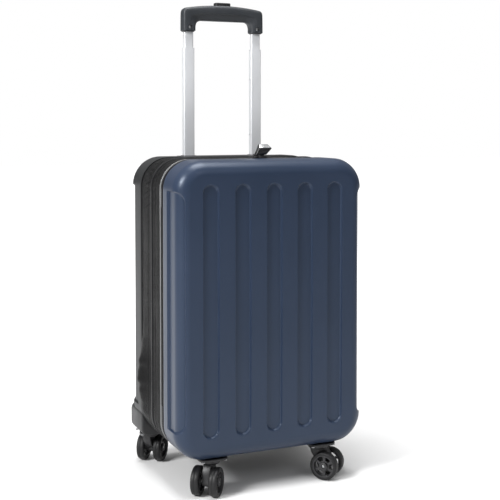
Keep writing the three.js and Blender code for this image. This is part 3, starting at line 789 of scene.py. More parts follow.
def wedge_pull(name):
    """The rounded wedge with its grip grooves, and the notch for the ears that hold its pin."""
    wedge = softened(raw_piece(name, wedge_body()), 1.1 * MM)
    heel = Vector((WEDGE_HEEL[0], 0, WEDGE_HEEL[1]))
    shoulder = Vector((WEDGE_SHOULDER[0], 0, WEDGE_SHOULDER[1]))
    lean = math.atan2(WEDGE_SHOULDER[0] - WEDGE_HEEL[0], WEDGE_SHOULDER[1] - WEDGE_HEEL[1])
    for share in (0.34, 0.50, 0.66):
        groove = plate([rounded(0, 0, 1.5 * MM, 14 * MM, 0.4 * MM, 3)], -0.55 * MM, 0.55 * MM)
        place = Matrix.Translation((heel * (1 - share) + shoulder * share) * MM)
        cut(wedge, moved(groove, place @ Matrix.Rotation(lean, 4, "Y")))
    notch = [(-6 * MM, -1 * MM), (NOTCH_REACH, -1 * MM), (NOTCH_REACH, NOTCH_REACH), (-6 * MM, NOTCH_REACH)]
    cut(wedge, upright([notch], -NOTCH_HALF, NOTCH_HALF))
    return wedge


for side in ("left", "right"):
    low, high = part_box("zip_slider_" + side)
    middle_x = (low.x + high.x) / 2
    if side == "left":
        slider = raw_piece("zip_slider_left_body", slider_shape(low, high, 4.4 * MM))
        pivot = Matrix.Translation((middle_x, SPLIT_Y, high.z + 2 * MM))
        pull = wedge_pull("zip_pull_left_wedge")
        pull.data.transform(pivot)
        ear = [(-1.3 * MM, -1.3 * MM), (1.3 * MM, -1.3 * MM), (2.8 * MM, 2 * MM), (0.2 * MM, 2 * MM)]
        ears = joined(
            upright([ear], -4.2 * MM, -2.2 * MM, 0.3 * MM),
            upright([ear], 2.2 * MM, 4.2 * MM, 0.3 * MM),
            moved(drum(0.75 * MM, -3.6 * MM, 3.6 * MM), TURNED_TO_Y),
        )
        ears_piece = raw_piece("zip_pull_left_ears", moved(ears, pivot))
        dress(ears_piece, SLIDER_METAL, "pull_left")
        pitch = Matrix.Rotation(math.atan2(WEDGE_BACK - WEDGE_FRONT, 2 * WEDGE_HALF), 4, "X")
        slope = pivot @ Matrix.Translation((0, -WEDGE_HALF * MM, WEDGE_FRONT * MM)) @ pitch
        face = [(5.3, 1.7), (5.8, 1.2), (25.8, 1.2), (26.3, 1.7)]
        face += [(23.2, 10.4), (22.6, 10.9), (8.0, 10.9), (7.4, 10.4)]
        face_plate = plate([[(x * MM, y * MM) for x, y in face]], -0.5 * MM, 0.35 * MM, 0.2 * MM)
        steel_face = raw_piece("zip_pull_left_face", moved(face_plate, slope))
        dress(steel_face, FACE_STEEL, "pull_left")
        dress(pull, PULL_PLASTIC, "pull_left", ["zip_pull_left"], sharp=30)
    else:
        pivot_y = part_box("zip_pull_right")[0].y - 1 * MM
        pivot = Matrix.Translation((middle_x, pivot_y, high.z + 2 * MM))
        lug_side = [
            (SPLIT_Y + 2.5 * MM, high.z - 1.4 * MM), (pivot_y - 0.6 * MM, high.z - 1.0 * MM),
            (pivot_y + 1.4 * MM, high.z + 0.8 * MM), (pivot_y + 1.4 * MM, high.z + 2.9 * MM),
            (pivot_y + 0.6 * MM, high.z + 3.4 * MM), (pivot_y - 0.9 * MM, high.z + 3.4 * MM),
            (pivot_y - 1.3 * MM, high.z + 2.8 * MM), (pivot_y - 1.3 * MM, high.z - 0.3 * MM),
            (SPLIT_Y + 2.5 * MM, high.z - 0.5 * MM),
        ]
        lug = plate([lug_side], -1.4 * MM, 1.4 * MM, 0.3 * MM)
        upright_across = Matrix(((0, 0, 1, 0), (1, 0, 0, 0), (0, 1, 0, 0), (0, 0, 0, 1)))
        seat = Matrix.Translation((middle_x, 0, 0)) @ upright_across
        slider_parts = joined(slider_shape(low, high, 1.3 * MM), moved(lug, seat))
        slider = raw_piece("zip_slider_right_body", slider_parts)
        outline = [(-3.2, -1.2), (-2.0, -1.2), (-2.0, 3.0), (2.0, 3.0), (2.0, -1.2), (3.2, -1.2)]
        outline += [(3.7, -0.4), (4.2, 8), (5.5, 17), (5.5, 25.2), (4.6, 27.3), (2.8, 28)]
        outline += [(-2.8, 28), (-4.6, 27.3), (-5.5, 25.2), (-5.5, 17), (-4.2, 8), (-3.7, -0.4)]
        tab = plate([[(x * MM, y * MM) for x, y in outline]], -1.2 * MM, 1.2 * MM, 0.5 * MM)
        ribs = [
            plate([rounded(0, y * MM, width * MM, 1.3 * MM, 0.6 * MM)], -1.6 * MM, 1.6 * MM, 0.4 * MM)
            for y, width in ((17, 7.0), (20, 7.6), (23, 7.6))
        ]
        pin = moved(drum(0.8 * MM, -3 * MM, 3 * MM), TURNED_TO_X)
        pull = raw_piece("zip_pull_right_tab", moved(joined(tab, pin, *ribs), pivot))
        dress(pull, PULL_PLASTIC, "pull_right", ["zip_pull_right"])
    dress(slider, SLIDER_METAL, "slider_" + side, ["zip_slider_" + side])

# ------------------------------------------------------------------ trolley guides
# Inside the rear half a steel guide tube runs from a nylon foot on the floor of the case up to
# the bezel, on each side. The telescopic handle slides in them.

SIDES = (("left", -1), ("right", 1))
STEEL = finish(
    "bright_steel", [(0.42, 0.43, 0.44), (0.52, 0.53, 0.54)], (0.25, 0.4),
    cloud=40, grain=1800, lift=0.006 * MM, sockets={"Metallic": 1.0},
)
BLACK_NYLON = finish(
    "black_nylon", [(0.005, 0.005, 0.0055), (0.008, 0.008, 0.009)], (0.40, 0.54),
    cloud=25, grain=1500, lift=0.03 * MM, sockets={"Specular IOR Level": 0.35},
)


def tube_shape(low, high, wall, edge=0.25 * MM):
    """A rectangular tube that fills the box between two corners."""
    x, y = (low.x + high.x) / 2, (low.y + high.y) / 2
    width, depth = high.x - low.x, high.y - low.y
    outside = rounded(x, y, width, depth, 2.4 * MM)
    inside = rounded(x, y, width - 2 * wall, depth - 2 * wall, 1.4 * MM)
    return plate([outside, inside], low.z, high.z, edge, 2)


for side, sign in SIDES:
    low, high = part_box("trolley_foot_" + side)
    x, y = (low.x + high.x) / 2, (low.y + high.y) / 2
    block = plate([rounded(x, y, high.x - low.x, high.y - low.y, 3 * MM)], low.z, high.z, 1.2 * MM)
    collar = plate([rounded(x, y, 31 * MM, 16 * MM, 3 * MM)], low.z + 4 * MM, high.z, 0.8 * MM)
    foot = raw_piece(f"trolley_foot_{side}_block", joined(block, collar))
    dress(foot, BLACK_NYLON, "rear_half", ["trolley_foot_" + side])
    guide = raw_piece(f"guide_tube_{side}_steel", tube_shape(*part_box("guide_tube_" + side), 1.1 * MM))
    dress(guide, STEEL, "rear_half", ["guide_tube_" + side])

# ------------------------------------------------------------------ telescopic tubes
# Two stages of anodised aluminium tube, drawn to a slim rectangle. The spring pin of the upper
# stage locks into holes in the inner side of the lower one.

ALUMINIUM = finish(
    "anodised_aluminium", [(0.56, 0.57, 0.59), (0.61, 0.62, 0.64)], (0.38, 0.48),
    cloud=12, grain=2600, lift=0.012 * MM, stretch=(1, 1, 0.02), sockets={"Metallic": 0.35},
)
LOCK_HOLES = (690.7 * MM, 587.4 * MM)
LOCK_RADIUS = 2.1 * MM


for side, sign in SIDES:
    low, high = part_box("lower_tube_" + side)
    lower = raw_piece(f"lower_tube_{side}_section", tube_shape(low, high, 1.1 * MM))
    inner_face = high.x if sign < 0 else low.x
    for hole_z in LOCK_HOLES:
        across = Matrix.Translation((inner_face, TROLLEY_Y, hole_z)) @ TURNED_TO_X
        cut(lower, moved(drum(LOCK_RADIUS, -3 * MM, 3 * MM), across))
    dress(lower, ALUMINIUM, "lower_stage", ["lower_tube_" + side])
    upper = raw_piece(f"upper_tube_{side}_section", tube_shape(*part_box("upper_tube_" + side), 1 * MM))
    dress(upper, ALUMINIUM, "upper_stage", ["upper_tube_" + side])

# ------------------------------------------------------------------ trolley bezel
# A black moulded plate let into the top of the back shell, with a raised lip round each tube.

BEZEL_PLASTIC = finish(
    "bezel_plastic", [(0.014, 0.014, 0.015), (0.022, 0.022, 0.024)], (0.38, 0.5),
    cloud=20, grain=1300, lift=0.03 * MM,
)
bezel_holes, lips = [], []
for side, sign in SIDES:
    low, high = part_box("lower_tube_" + side)
    x, y = (low.x + high.x) / 2, (low.y + high.y) / 2
    width, depth = high.x - low.x + 0.7 * MM, high.y - low.y + 0.7 * MM
    bezel_holes.append(rounded(x, y, width, depth, 2.7 * MM))
    lips.append(plate(
        [rounded(x, y, width + 5 * MM, depth + 5 * MM, 5 * MM), rounded(x, y, width, depth, 2.7 * MM)],
        BEZEL_HIGH.z - 2 * MM, BEZEL_HIGH.z + 1.1 * MM, 0.5 * MM,
    ))
bezel_outline = rounded(0, TROLLEY_Y, BEZEL_WIDTH, BEZEL_DEPTH, 5 * MM)
bezel_slab = plate([bezel_outline, *bezel_holes], BEZEL_LOW.z, BEZEL_HIGH.z + 0.3 * MM, 0.8 * MM)
bezel = raw_piece("trolley_bezel_plate", joined(bezel_slab, *lips))
dress(bezel, BEZEL_PLASTIC, "rear_half", ["trolley_bezel"])

# ------------------------------------------------------------------ grip
# A moulded grip with a soft slate skin: a sleeve runs down over each upper tube, and the bar
# between them arches up to the release button. The lower part of the bar is tucked in.

GRIP_LOW, GRIP_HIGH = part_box("trolley_grip")
GRIP_OUT = GRIP_HIGH.x
GRIP_IN = 54.5 * MM
GRIP_UNDER = 795 * MM
GRIP_BEND = 13 * MM
GRIP_DEPTH = (GRIP_HIGH.y - GRIP_LOW.y) / 2
BEND_X, BEND_Z = GRIP_IN - GRIP_BEND, GRIP_UNDER - GRIP_BEND


def bar_top(x):
    """The arched top line of the grip."""
    return GRIP_HIGH.z - 6 * MM * (x / (70.5 * MM)) ** 2


def grip_stations():
    """Pairs of inside and outside points along half the grip, with how much of it is bar."""
    stations = [((GRIP_IN, z), (GRIP_OUT, z), 0) for z in np.linspace(GRIP_LOW.z + 0.8 * MM, BEND_Z, 4)]
    for turn in np.radians(np.linspace(4, 86, 22)):
        side_reach = (GRIP_OUT - BEND_X) / math.cos(turn)
        top_reach = side_reach
        for _ in range(12):
            top_reach = (bar_top(BEND_X + top_reach * math.cos(turn)) - BEND_Z) / math.sin(turn)
            top_reach = min(top_reach, 60 * MM)
        reach = (side_reach ** -14 + top_reach ** -14) ** (-1 / 14)
        way = np.array((math.cos(turn), math.sin(turn)))
        centre = np.array((BEND_X, BEND_Z))
        inside, outside = centre + GRIP_BEND * way, centre + reach * way
        stations.append((inside, outside, float(eased(turn / math.radians(90)))))
    stations += [((x, GRIP_UNDER), (x, bar_top(x)), 1) for x in np.linspace(BEND_X, 0, 20)]
    return stations


def grip_shape():
    """Sections lofted from one sleeve over the bar to the other."""
    half = grip_stations()
    stations = half + [((-a[0], a[1]), (-b[0], b[1]), share) for a, b, share in reversed(half[:-1])]
    level = np.linspace(1, -1, 33)
    down = np.arccos(np.sign(level) * np.abs(level) ** 1.7)
    turns = np.concatenate([down, 2 * math.pi - down[-2:0:-1]])
    crease = -0.05
    rows = []
    for inside, outside, share in stations:
        inside, outside = np.array(inside), np.array(outside)
        power = 2 / (5 - 1.6 * share)
        lift = np.sign(np.cos(turns)) * np.abs(np.cos(turns)) ** power
        side = np.sign(np.sin(turns)) * np.abs(np.sin(turns)) ** power
        tuck = np.clip((crease - lift) / (1 + crease), 0, 1)
        fold = eased((crease - lift) / 0.14)
        side = side * (1 - share * (0.20 * fold + 0.36 * tuck))
        spot = (inside + outside) / 2 + lift[:, None] * (outside - inside) / 2
        rows.append(np.column_stack([spot[:, 0], TROLLEY_Y + GRIP_DEPTH * side, spot[:, 1]]))
    first, last = rows[0].copy(), rows[-1].copy()
    for end in (first, last):
        middle = end.mean(0)
        end[:] = middle + (end - middle) * 0.94
        end[:, 2] -= 0.8 * MM
    rows = [first, *rows, last]
    table = np.arange(len(rows) * len(turns)).reshape(len(rows), len(turns))
    return np.vstack(rows), quads(table, around=True) + [table[0].tolist(), table[-1].tolist()]


SLATE = finish(
    "slate_soft_touch", [(0.014, 0.017, 0.021), (0.020, 0.023, 0.028)], (0.46, 0.58),
    cloud=22, grain=1500, lift=0.04 * MM, sockets={"Specular IOR Level": 0.45},
)
BUTTON_LOW, BUTTON_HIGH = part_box("release_button")
BUTTON_WIDTH = BUTTON_HIGH.x - BUTTON_LOW.x
BUTTON_DEPTH = BUTTON_HIGH.y - BUTTON_LOW.y
grip = raw_piece("trolley_grip_shell", grip_shape())
button_well = rounded(0, TROLLEY_Y, BUTTON_WIDTH + 0.9 * MM, BUTTON_DEPTH + 0.9 * MM, 4 * MM)
cut(grip, plate([button_well], BUTTON_LOW.z - 2 * MM, GRIP_HIGH.z + 9 * MM))
SCREW_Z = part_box("grip_screw_left")[0].z + 3.2 * MM
for side, sign in SIDES:
    screw_x = (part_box("grip_screw_" + side)[0].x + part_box("grip_screw_" + side)[1].x) / 2
    well = moved(drum(3.6 * MM, -7 * MM, 7 * MM), Matrix.Rotation(math.pi / 2, 4, "X"))
    cut(grip, moved(well, Matrix.Translation((screw_x, GRIP_LOW.y - 3 * MM, SCREW_Z))))
    notch = plate([rounded(sign * 25 * MM, TROLLEY_Y - 4.6 * MM, 7 * MM, 2.6 * MM, 1 * MM)],
                  GRIP_UNDER - 4 * MM, GRIP_UNDER + 2.4 * MM)
    cut(grip, notch)
dress(grip, SLATE, "upper_stage", ["trolley_grip"], sharp=32)
for side, sign in SIDES:
    tube_x = sign * (GRIP_IN + GRIP_OUT) / 2
    cuff_outlines = [
        rounded(tube_x, TROLLEY_Y, GRIP_OUT - GRIP_IN - 3 * MM, 2 * GRIP_DEPTH - 5 * MM, 5 * MM),
        rounded(tube_x, TROLLEY_Y, 18.2 * MM, 9.2 * MM, 2.6 * MM),
    ]
    cuff_shape = plate(cuff_outlines, GRIP_LOW.z - 1.2 * MM, GRIP_LOW.z + 2 * MM, 0.5 * MM)
    cuff = raw_piece(f"sleeve_cuff_{side}", cuff_shape)
    dress(cuff, BLACK_NYLON, "upper_stage")

# ------------------------------------------------------------------ grip screws
# A pan-head screw with a cross recess through the front of each sleeve pins grip to tube.


def lathe(profile, steps=40):
    """A solid turned about Z from (radius, height) points that start and end on the axis."""
    turns = np.linspace(0, 2 * math.pi, steps + 1)[:-1]
    body = profile[1:-1]
    verts = [(0, 0, profile[0][1])] + [
        (radius * math.cos(t), radius * math.sin(t), height) for radius, height in body for t in turns
    ] + [(0, 0, profile[-1][1])]
    table = 1 + np.arange(len(body) * steps).reshape(len(body), steps)
    faces = quads(table, around=True)
    last = len(verts) - 1
    for k in range(steps):
        faces.append([0, int(table[0, k]), int(table[0, (k + 1) % steps])])
        faces.append([last, int(table[-1, (k + 1) % steps]), int(table[-1, k])])
    return np.array(verts), faces


def screw_head(radius, height):
    """A domed screw head that faces +Z."""
    dome = [(0, 0), (radius, 0), (radius, height * 0.4), (radius * 0.92, height * 0.68)]
    dome += [(radius * 0.7, height * 0.88), (radius * 0.4, height * 0.97), (0, height)]
    return lathe(dome, 28)


for side, sign in SIDES:
    low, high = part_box("grip_screw_" + side)
    screw = raw_piece(f"grip_screw_{side}_head", screw_head(3.1 * MM, 2 * MM))
    for bar in (0, 1):
        slot_size = (3.2 * MM, 0.8 * MM) if bar else (0.8 * MM, 3.2 * MM)
        cut(screw, plate([rounded(0, 0, *slot_size, 0.2 * MM, 2)], 0.8 * MM, 4 * MM))
    seat = Matrix.Translation(((low.x + high.x) / 2, high.y, (low.z + high.z) / 2)) @ TURNED_TO_Y
    screw.data.transform(seat)
    dress(screw, STEEL, "upper_stage", ["grip_screw_" + side])

# ------------------------------------------------------------------ release button
# A ribbed black push button in the middle of the bar. Under it a steel bar and a rod down each
# upper tube draw the lock pins back when it is pressed.

button_block = plate(
    [rounded(0, TROLLEY_Y, BUTTON_WIDTH, BUTTON_DEPTH, 3.6 * MM)],
    BUTTON_LOW.z, BUTTON_HIGH.z - 0.4 * MM, 1.4 * MM,
)
button_ribs = [
    plate([rounded(place * 4 * MM, TROLLEY_Y, 1.5 * MM, BUTTON_DEPTH - 5 * MM, 0.7 * MM)],
          BUTTON_HIGH.z - 1.5 * MM, BUTTON_HIGH.z, 0.35 * MM)
    for place in (-2, -1, 0, 1, 2)
]
button = raw_piece("release_button_cap", joined(button_block, *button_ribs))
dress(button, BLACK_NYLON, "release", ["release_button"])
for name in ("release_link", "push_rod_left", "push_rod_right"):
    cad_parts[name].data.materials.clear()
    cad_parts[name].data.materials.append(STEEL)

# ------------------------------------------------------------------ linings
# Polyester lining cloth closes off the trolley tubes in the rear half and makes the divider of
# the front half, which has a zipped pocket. Both are sewn in round the edge.

LINING = woven(
    "lining_cloth", [(0.022, 0.022, 0.024), (0.032, 0.032, 0.035)], (0.6, 0.75), 0.7 * MM, 0.12 * MM,
    sockets={"Sheen Weight": 0.2, "Sheen Roughness": 0.4},
)
CORD_CLOTH = finish(
    "binding_cloth", [(0.012, 0.012, 0.013), (0.018, 0.018, 0.019)], (0.6, 0.75),
    cloud=30, grain=1200, lift=0.05 * MM, stretch=(1, 1, 1),
)


def panel_skin(inset, height_at):
    """A cloth panel inside the outline; `height_at` gives its depth from x and z."""
    half_x, half_z, corner = HALF_WIDTH - inset, HALF_HEIGHT - inset, CORNER - inset
    columns = np.linspace(-1, 1, 121)
    levels = np.linspace(-1, 1, 171)
    u, v = np.meshgrid(columns, levels, indexing="ij")
    z = v * half_z
    into_corner = np.clip((np.abs(z) - (half_z - corner)) / corner, 0, 1)
    reach = half_x - corner + corner * np.sqrt(1 - into_corner ** 2)
    x = u * reach
    y = height_at(x, z, np.minimum(1 - np.abs(u), 1 - np.abs(v)))
    table = np.arange(u.size).reshape(u.shape)
    return np.stack([x, y, MIDDLE_Z + z], -1).reshape(-1, 3), quads(table)


def rear_lining(x, z, from_edge):
    """Stretched over the two guide tubes, slack between, and puckered along its seam."""
    inner_y = lining_low.y + 0.6 * MM
    hump = sum(bell(x, sign * 66 * MM, 17 * MM) for sign in (-1, 1))
    waves = ripple(x * 0.7 + z, (0.19, 0.6, 0.3), (0.083, 0.35, 1.2)) + ripple(x - 0.4 * z, (0.13, 0.4, 0.5))
    pucker = np.exp(-from_edge / 0.05) * ripple(x + z, (11 * MM, 0.35, 0), (17 * MM, 0.25, 1.0))
    return inner_y - (1.6 * hump - 0.5 * waves * eased(from_edge / 0.1) - pucker) * MM


def divider_cloth(x, z, from_edge):
    """Drawn nearly flat across the front half, with soft waves down it."""
    waves = ripple(x + 0.3 * z, (0.17, 0.7, 1.3), (0.075, 0.3, 0.2)) * eased(from_edge / 0.12)
    pucker = np.exp(-from_edge / 0.05) * ripple(x + z, (9 * MM, 0.35, 0), (15 * MM, 0.25, 1.0))
    return (divider_low.y + divider_high.y) / 2 + (waves + pucker) * MM


LINING_INSET = HALF_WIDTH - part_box("trolley_lining")[1].x
lining_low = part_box("trolley_lining")[0]
divider_low, divider_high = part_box("divider_panel")
for name, cloth_at, node, body, held_by in (
    ("trolley_lining_cloth", rear_lining, "trolley_lining", "rear_half", "back_shell"),
    ("divider_cloth", divider_cloth, "divider_panel", "front_half", "front_shell"),
):
    panel = thicken(raw_piece(name, panel_skin(LINING_INSET, cloth_at)), 0.7 * MM, (0, -1, MIDDLE_Z))
    dress(panel, LINING, body, [node])

# The pocket on the divider is a second layer with a bound edge and a zip across its top; only its bound edge
# and its zip teeth are built here.
POCKET_HALF, POCKET_TOP, POCKET_BOTTOM = 118 * MM, 96 * MM, -170 * MM
pocket_y = divider_high.y + 0.4 * MM
binding = raw_piece("pocket_binding", upright(
    [rounded(0, MIDDLE_Z + (POCKET_TOP + POCKET_BOTTOM) / 2,
             2 * POCKET_HALF, POCKET_TOP - POCKET_BOTTOM, 14 * MM),
     rounded(0, MIDDLE_Z + (POCKET_TOP + POCKET_BOTTOM) / 2, 2 * POCKET_HALF - 14 * MM,
             POCKET_TOP - POCKET_BOTTOM - 14 * MM, 9 * MM)],
    pocket_y - 0.6 * MM, pocket_y + 0.8 * MM, 0.4 * MM,
))
dress(binding, CORD_CLOTH, "front_half")
pocket_teeth = []
for tooth in range(70):
    x = -POCKET_HALF + 14 * MM + tooth * 3 * MM
    z = MIDDLE_Z + POCKET_TOP - 14 * MM + (0.5 if tooth % 2 else -0.5) * MM
    pocket_teeth.append(upright([rounded(x, z, 1.7 * MM, 3.2 * MM, 0.5 * MM, 2)],
                                pocket_y - 0.4 * MM, pocket_y + 1.3 * MM, 0.3 * MM, 1))
pocket_zip = raw_piece("pocket_zip_teeth", joined(*pocket_teeth))
dress(pocket_zip, TEETH, "front_half")

# ------------------------------------------------------------------ packing straps
# Two lengths of woven webbing sewn to the sides of the rear half, with a side-release buckle.

WEBBING = woven(
    "strap_webbing", [(0.018, 0.018, 0.020), (0.028, 0.028, 0.030)], (0.55, 0.7), 1.6 * MM, 0.3 * MM,
)
for side, sign in SIDES:
    low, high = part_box("packing_strap_" + side)
    lengths = np.linspace(low.x, high.x, 70)
    widths = np.linspace(low.z, high.z, 15)
    x, z = np.meshgrid(lengths, widths, indexing="ij")
    along = (x - low.x) / (high.x - low.x)
    edge_share = np.abs(z - (low.z + high.z) / 2) / (high.z - low.z) * 2
    sag = 1.6 * MM * np.sin(math.pi * along) * (1 + 0.2 * np.sin(9 * along + sign))
    y = (low.y + high.y) / 2 + sag + 0.25 * MM * edge_share ** 4
    shape = np.stack([x, y, z], -1).reshape(-1, 3), quads(np.arange(x.size).reshape(x.shape))
    strap = thicken(raw_piece(f"packing_strap_{side}_webbing", shape), 1.3 * MM, (0, -1, MIDDLE_Z))
    dress(strap, WEBBING, "rear_half", ["packing_strap_" + side])

socket_low, socket_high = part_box("buckle_socket")
clip_low, clip_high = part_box("buckle_clip")
BUCKLE_Z = (socket_low.z + socket_high.z) / 2
BUCKLE_TALL = socket_high.z - socket_low.z


def buckle_half(low, high, sign):
    """A frame with a bar for the webbing at its outer end."""
    x = (low.x + high.x) / 2
    width = high.x - low.x
    frame_outline = rounded(x, BUCKLE_Z, width, BUCKLE_TALL, 6 * MM)
    slots = [
        rounded(x + sign * (width / 2 - place * MM), BUCKLE_Z, 2.6 * MM, BUCKLE_TALL - 10 * MM, 1 * MM)
        for place in (4.5, 10.5)
    ]
    return upright([frame_outline, *slots], low.y, high.y, 1.1 * MM)


side_window = [
    upright([rounded(socket_high.x - 8 * MM, BUCKLE_Z + sign * (BUCKLE_TALL / 2 - 4 * MM),
                     11 * MM, 6 * MM, 2 * MM)],
            socket_low.y - 0.7 * MM, socket_low.y + 1 * MM, 0.6 * MM)
    for sign in (-1, 1)
]
socket = raw_piece("buckle_socket_moulding", joined(buckle_half(socket_low, socket_high, -1), *side_window))
dress(socket, BLACK_NYLON, "rear_half", ["buckle_socket"])
clip = raw_piece("buckle_clip_moulding", buckle_half(clip_low, clip_high, 1))
dress(clip, BLACK_NYLON, "rear_half", ["buckle_clip"])

# ------------------------------------------------------------------ castor mounts
# The front castors screw to round-cornered plates under the front shell. The rear ones hang
# from moulded brackets that wrap the bottom corners of the back shell, set a little wider.

HOUSING_PLASTIC = finish(
    "housing_plastic", [(0.011, 0.011, 0.012), (0.018, 0.018, 0.019)], (0.40, 0.55),
    cloud=18, grain=1300, lift=0.04 * MM,
)
CASTORS = {
    "front_left": (-100, -91, -129),
    "front_right": (100, -91, -47),
    "rear_left": (-147, 91, 51),
    "rear_right": (147, 91, 129),
}
body_core = upright(
    [rounded(0, MIDDLE_Z, 2 * HALF_WIDTH + 0.6 * MM, 2 * HALF_HEIGHT + 0.6 * MM, CORNER + 0.3 * MM, 20)],
    -HALF_DEPTH, HALF_DEPTH + 0.3 * MM, EDGE, 10,
)


def plate_screws(x, y, reach, under):
    """Four recessed screw heads on the underside of a mounting plate."""
    facing_down = Matrix.Rotation(math.pi, 4, "X")
    spots = [(x + sx * reach, y + sy * reach) for sx in (-1, 1) for sy in (-1, 1)]
    return [
        moved(screw_head(3 * MM, 1.6 * MM), Matrix.Translation((px, py, under + 0.3 * MM)) @ facing_down)
        for px, py in spots
    ]


for place, (x, y, _) in CASTORS.items():
    x, y = x * MM, y * MM
    low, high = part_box("housing_" + place)
    if y < 0:
        mount = raw_piece(f"housing_{place}_plate", joined(
            plate([rounded(x, y, high.x - low.x, high.y - low.y, 14 * MM)], low.z, high.z, 1.4 * MM),
            plate([rounded(x, y, 38 * MM, 38 * MM, 18 * MM)], low.z - 0.4 * MM, low.z + 2 * MM, 0.8 * MM),
        ))
        screws = plate_screws(x, y, 19.5 * MM, low.z)
    else:
        side = 1 if x > 0 else -1
        width, height = high.x - low.x, high.z - low.z
        bracket = upright(
            [rounded((low.x + high.x) / 2, (low.z + high.z) / 2, width, height, 13 * MM, 12)],
            low.y, high.y, 3 * MM,
        )
        mount = cut(raw_piece(f"housing_{place}_bracket", bracket), body_core)
        screws = plate_screws(x, y, 17 * MM, low.z)
    half = "front_half" if y < 0 else "rear_half"
    dress(mount, HOUSING_PLASTIC, half, ["housing_" + place])
    fixings = raw_piece(f"housing_{place}_screws", joined(*screws))
    dress(fixings, STEEL, half)

# ------------------------------------------------------------------ castor forks
# A nylon fork turns on a riveted pin under each mount. Its single arm stands between the two
# wheels and holds the axle behind the swivel.

FORK_PLASTIC = finish(
    "fork_nylon", [(0.013, 0.013, 0.014), (0.021, 0.021, 0.023)], (0.36, 0.5),
    cloud=22, grain=1500, lift=0.03 * MM,
)
TRAIL, AXLE_Z = 17 * MM, 24 * MM
FORK_TOP = 57.1 * MM
ARM_HALF = 7 * MM


def bend(start, pull, end, steps=10):
    """Points along a curve from start to end, drawn towards pull."""
    share = np.linspace(0, 1, steps + 1)[:, None]
    start, pull, end = np.array(start), np.array(pull), np.array(end)
    points = (1 - share) ** 2 * start + 2 * share * (1 - share) * pull + share ** 2 * end
    return [tuple(point * MM) for point in points]


def fork_shape():
    """The fork in its own place: it swivels on Z and its wheels trail along +X."""
    boss = [
        (TRAIL + 9 * MM * math.cos(turn), AXLE_Z + 9 * MM * math.sin(turn))
        for turn in np.linspace(math.pi, 2 * math.pi, 25)[1:-1]
    ]
    side_view = bend((-13, 54), (-13.5, 36), (8, 24)) + boss + bend((26, 24), (25.5, 44), (13, 54))
    arm = upright([side_view], -ARM_HALF, ARM_HALF, 1.6 * MM)
    ring = lathe([
        (0, 49.6 * MM), (13.6 * MM, 49.6 * MM), (15.6 * MM, 50.2 * MM), (16.8 * MM, 51.8 * MM),
        (17 * MM, 53 * MM), (17 * MM, 55 * MM), (16.2 * MM, 55.6 * MM), (16.2 * MM, 56.2 * MM),
        (16.9 * MM, 56.4 * MM), (16.6 * MM, FORK_TOP), (0, FORK_TOP),
    ], 56)
    pin_profile = [(0, 56), (4.5, 56), (4.5, 60.6), (4, 61), (0, 61)]
    pin = lathe([(radius * MM, height * MM) for radius, height in pin_profile], 24)
    return joined(arm, ring, pin)


FORK = fork_shape()
for place, (x, y, trails) in CASTORS.items():
    stand = Matrix.Translation((x * MM, y * MM, 0)) @ Matrix.Rotation(math.radians(trails), 4, "Z")
    fork = raw_piece(f"fork_{place}_arm", moved(FORK, stand))
    dress(fork, FORK_PLASTIC, "castor_" + place, ["fork_" + place])

# ------------------------------------------------------------------ axles
# A steel axle is pressed through each fork, with a pushed-on cap at both ends.

AXLE_HALF = (31 + 14 - 2) / 2 * MM
AXLE = moved(lathe([
    (0, -AXLE_HALF), (1.6 * MM, -AXLE_HALF), (2.6 * MM, -AXLE_HALF + 0.5 * MM),
    (3 * MM, -AXLE_HALF + 1.4 * MM),
    (3 * MM, AXLE_HALF - 1.4 * MM), (2.6 * MM, AXLE_HALF - 0.5 * MM), (1.6 * MM, AXLE_HALF), (0, AXLE_HALF),
], 28), Matrix.Translation((TRAIL, 0, AXLE_Z)) @ TURNED_TO_Y)

# ------------------------------------------------------------------ wheels
# Two hard wheels to a castor: a polyurethane tread on a nylon centre with six openings and a
# hub that runs on the axle. A fine parting line circles the tread.

WHEEL_SPACING = 31 * MM
TREAD = finish(
    "wheel_tread", [(0.005, 0.005, 0.0055), (0.009, 0.009, 0.010)], (0.42, 0.58),
    cloud=45, grain=1400, lift=0.05 * MM, sockets={"Specular IOR Level": 0.35},
)
CENTRE = finish(
    "wheel_centre", [(0.020, 0.020, 0.022), (0.032, 0.032, 0.034)], (0.34, 0.46),
    cloud=45, grain=1800, lift=0.02 * MM,
)


def ring_of(profile, steps=72):
    """A ring turned about Z from a closed loop of (radius, height) points in millimetres."""
    turns = np.linspace(0, 2 * math.pi, steps + 1)[:-1]
    verts = [(r * math.cos(t) * MM, r * math.sin(t) * MM, h * MM) for r, h in profile for t in turns]
    table = np.arange(len(verts)).reshape(len(profile), steps)
    return np.array(verts), quads(np.vstack([table, table[:1]]), around=True)


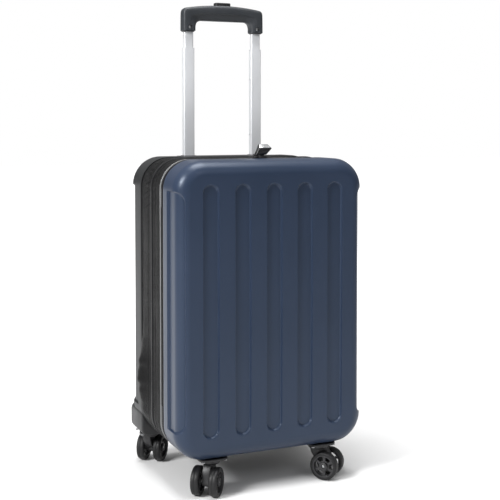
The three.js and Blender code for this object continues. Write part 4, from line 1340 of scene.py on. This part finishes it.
def wheel_opening(turn):
    """One of the six openings: a sector with round corners between hub and rim."""
    corners = [(9.4, -0.30), (9.0, 0.0), (9.4, 0.30), (12, 0.34), (15, 0.36), (16.1, 0.30), (16.5, 0.12)]
    corners += [(16.5, -0.12), (16.1, -0.30), (15, -0.36), (12, -0.34)]
    return [(r * MM * math.cos(turn + a), r * MM * math.sin(turn + a)) for r, a in corners]


tread_profile = [(18.6, -6.6), (20.6, -7), (22.2, -6.8), (23.3, -6.0), (23.85, -4.6)]
tread_profile += [(24, -2.6), (24, -0.25)]
tread_profile += [(23.8, 0)] + [(r, -h) for r, h in reversed(tread_profile)]
centre_profile = [(17.0, -6.0), (18.9, -6.3), (18.9, 6.3), (17.0, 6.0), (16.6, 2.4), (16.6, -2.4)]
circle = [(17.4 * MM * math.cos(t), 17.4 * MM * math.sin(t)) for t in np.linspace(0, 2 * math.pi, 73)[:-1]]
web = plate([circle, *[wheel_opening(math.pi / 3 * k) for k in range(6)]], -2.6 * MM, 2.6 * MM, 0.5 * MM, 2)
hub_profile = [(3.3, -6.6), (5.2, -6.9), (6.6, -6.2), (7.4, -2.4)]
hub_profile += [(radius, -height) for radius, height in reversed(hub_profile)]
hub = ring_of(hub_profile, 40)
TREAD_RING = ring_of(tread_profile)
WHEEL_CENTRE = joined(ring_of(centre_profile), web, hub)

for place, (x, y, trails) in CASTORS.items():
    stand = Matrix.Translation((x * MM, y * MM, 0)) @ Matrix.Rotation(math.radians(trails), 4, "Z")
    axle = raw_piece(f"axle_{place}_pin", moved(AXLE, stand))
    dress(axle, STEEL, "castor_" + place, ["axle_" + place])
    for end, sign in (("a", -1), ("b", 1)):
        hang = stand @ Matrix.Translation((TRAIL, sign * WHEEL_SPACING / 2, AXLE_Z)) @ TURNED_TO_Y
        tread = raw_piece(f"wheel_{place}_{end}_tread", moved(TREAD_RING, hang))
        dress(tread, TREAD, f"wheel_{place}_{end}", [f"wheel_{place}_{end}"])
        centre = raw_piece(f"wheel_{place}_{end}_centre", moved(WHEEL_CENTRE, hang))
        dress(centre, CENTRE, f"wheel_{place}_{end}", [f"wheel_{place}_{end}"])
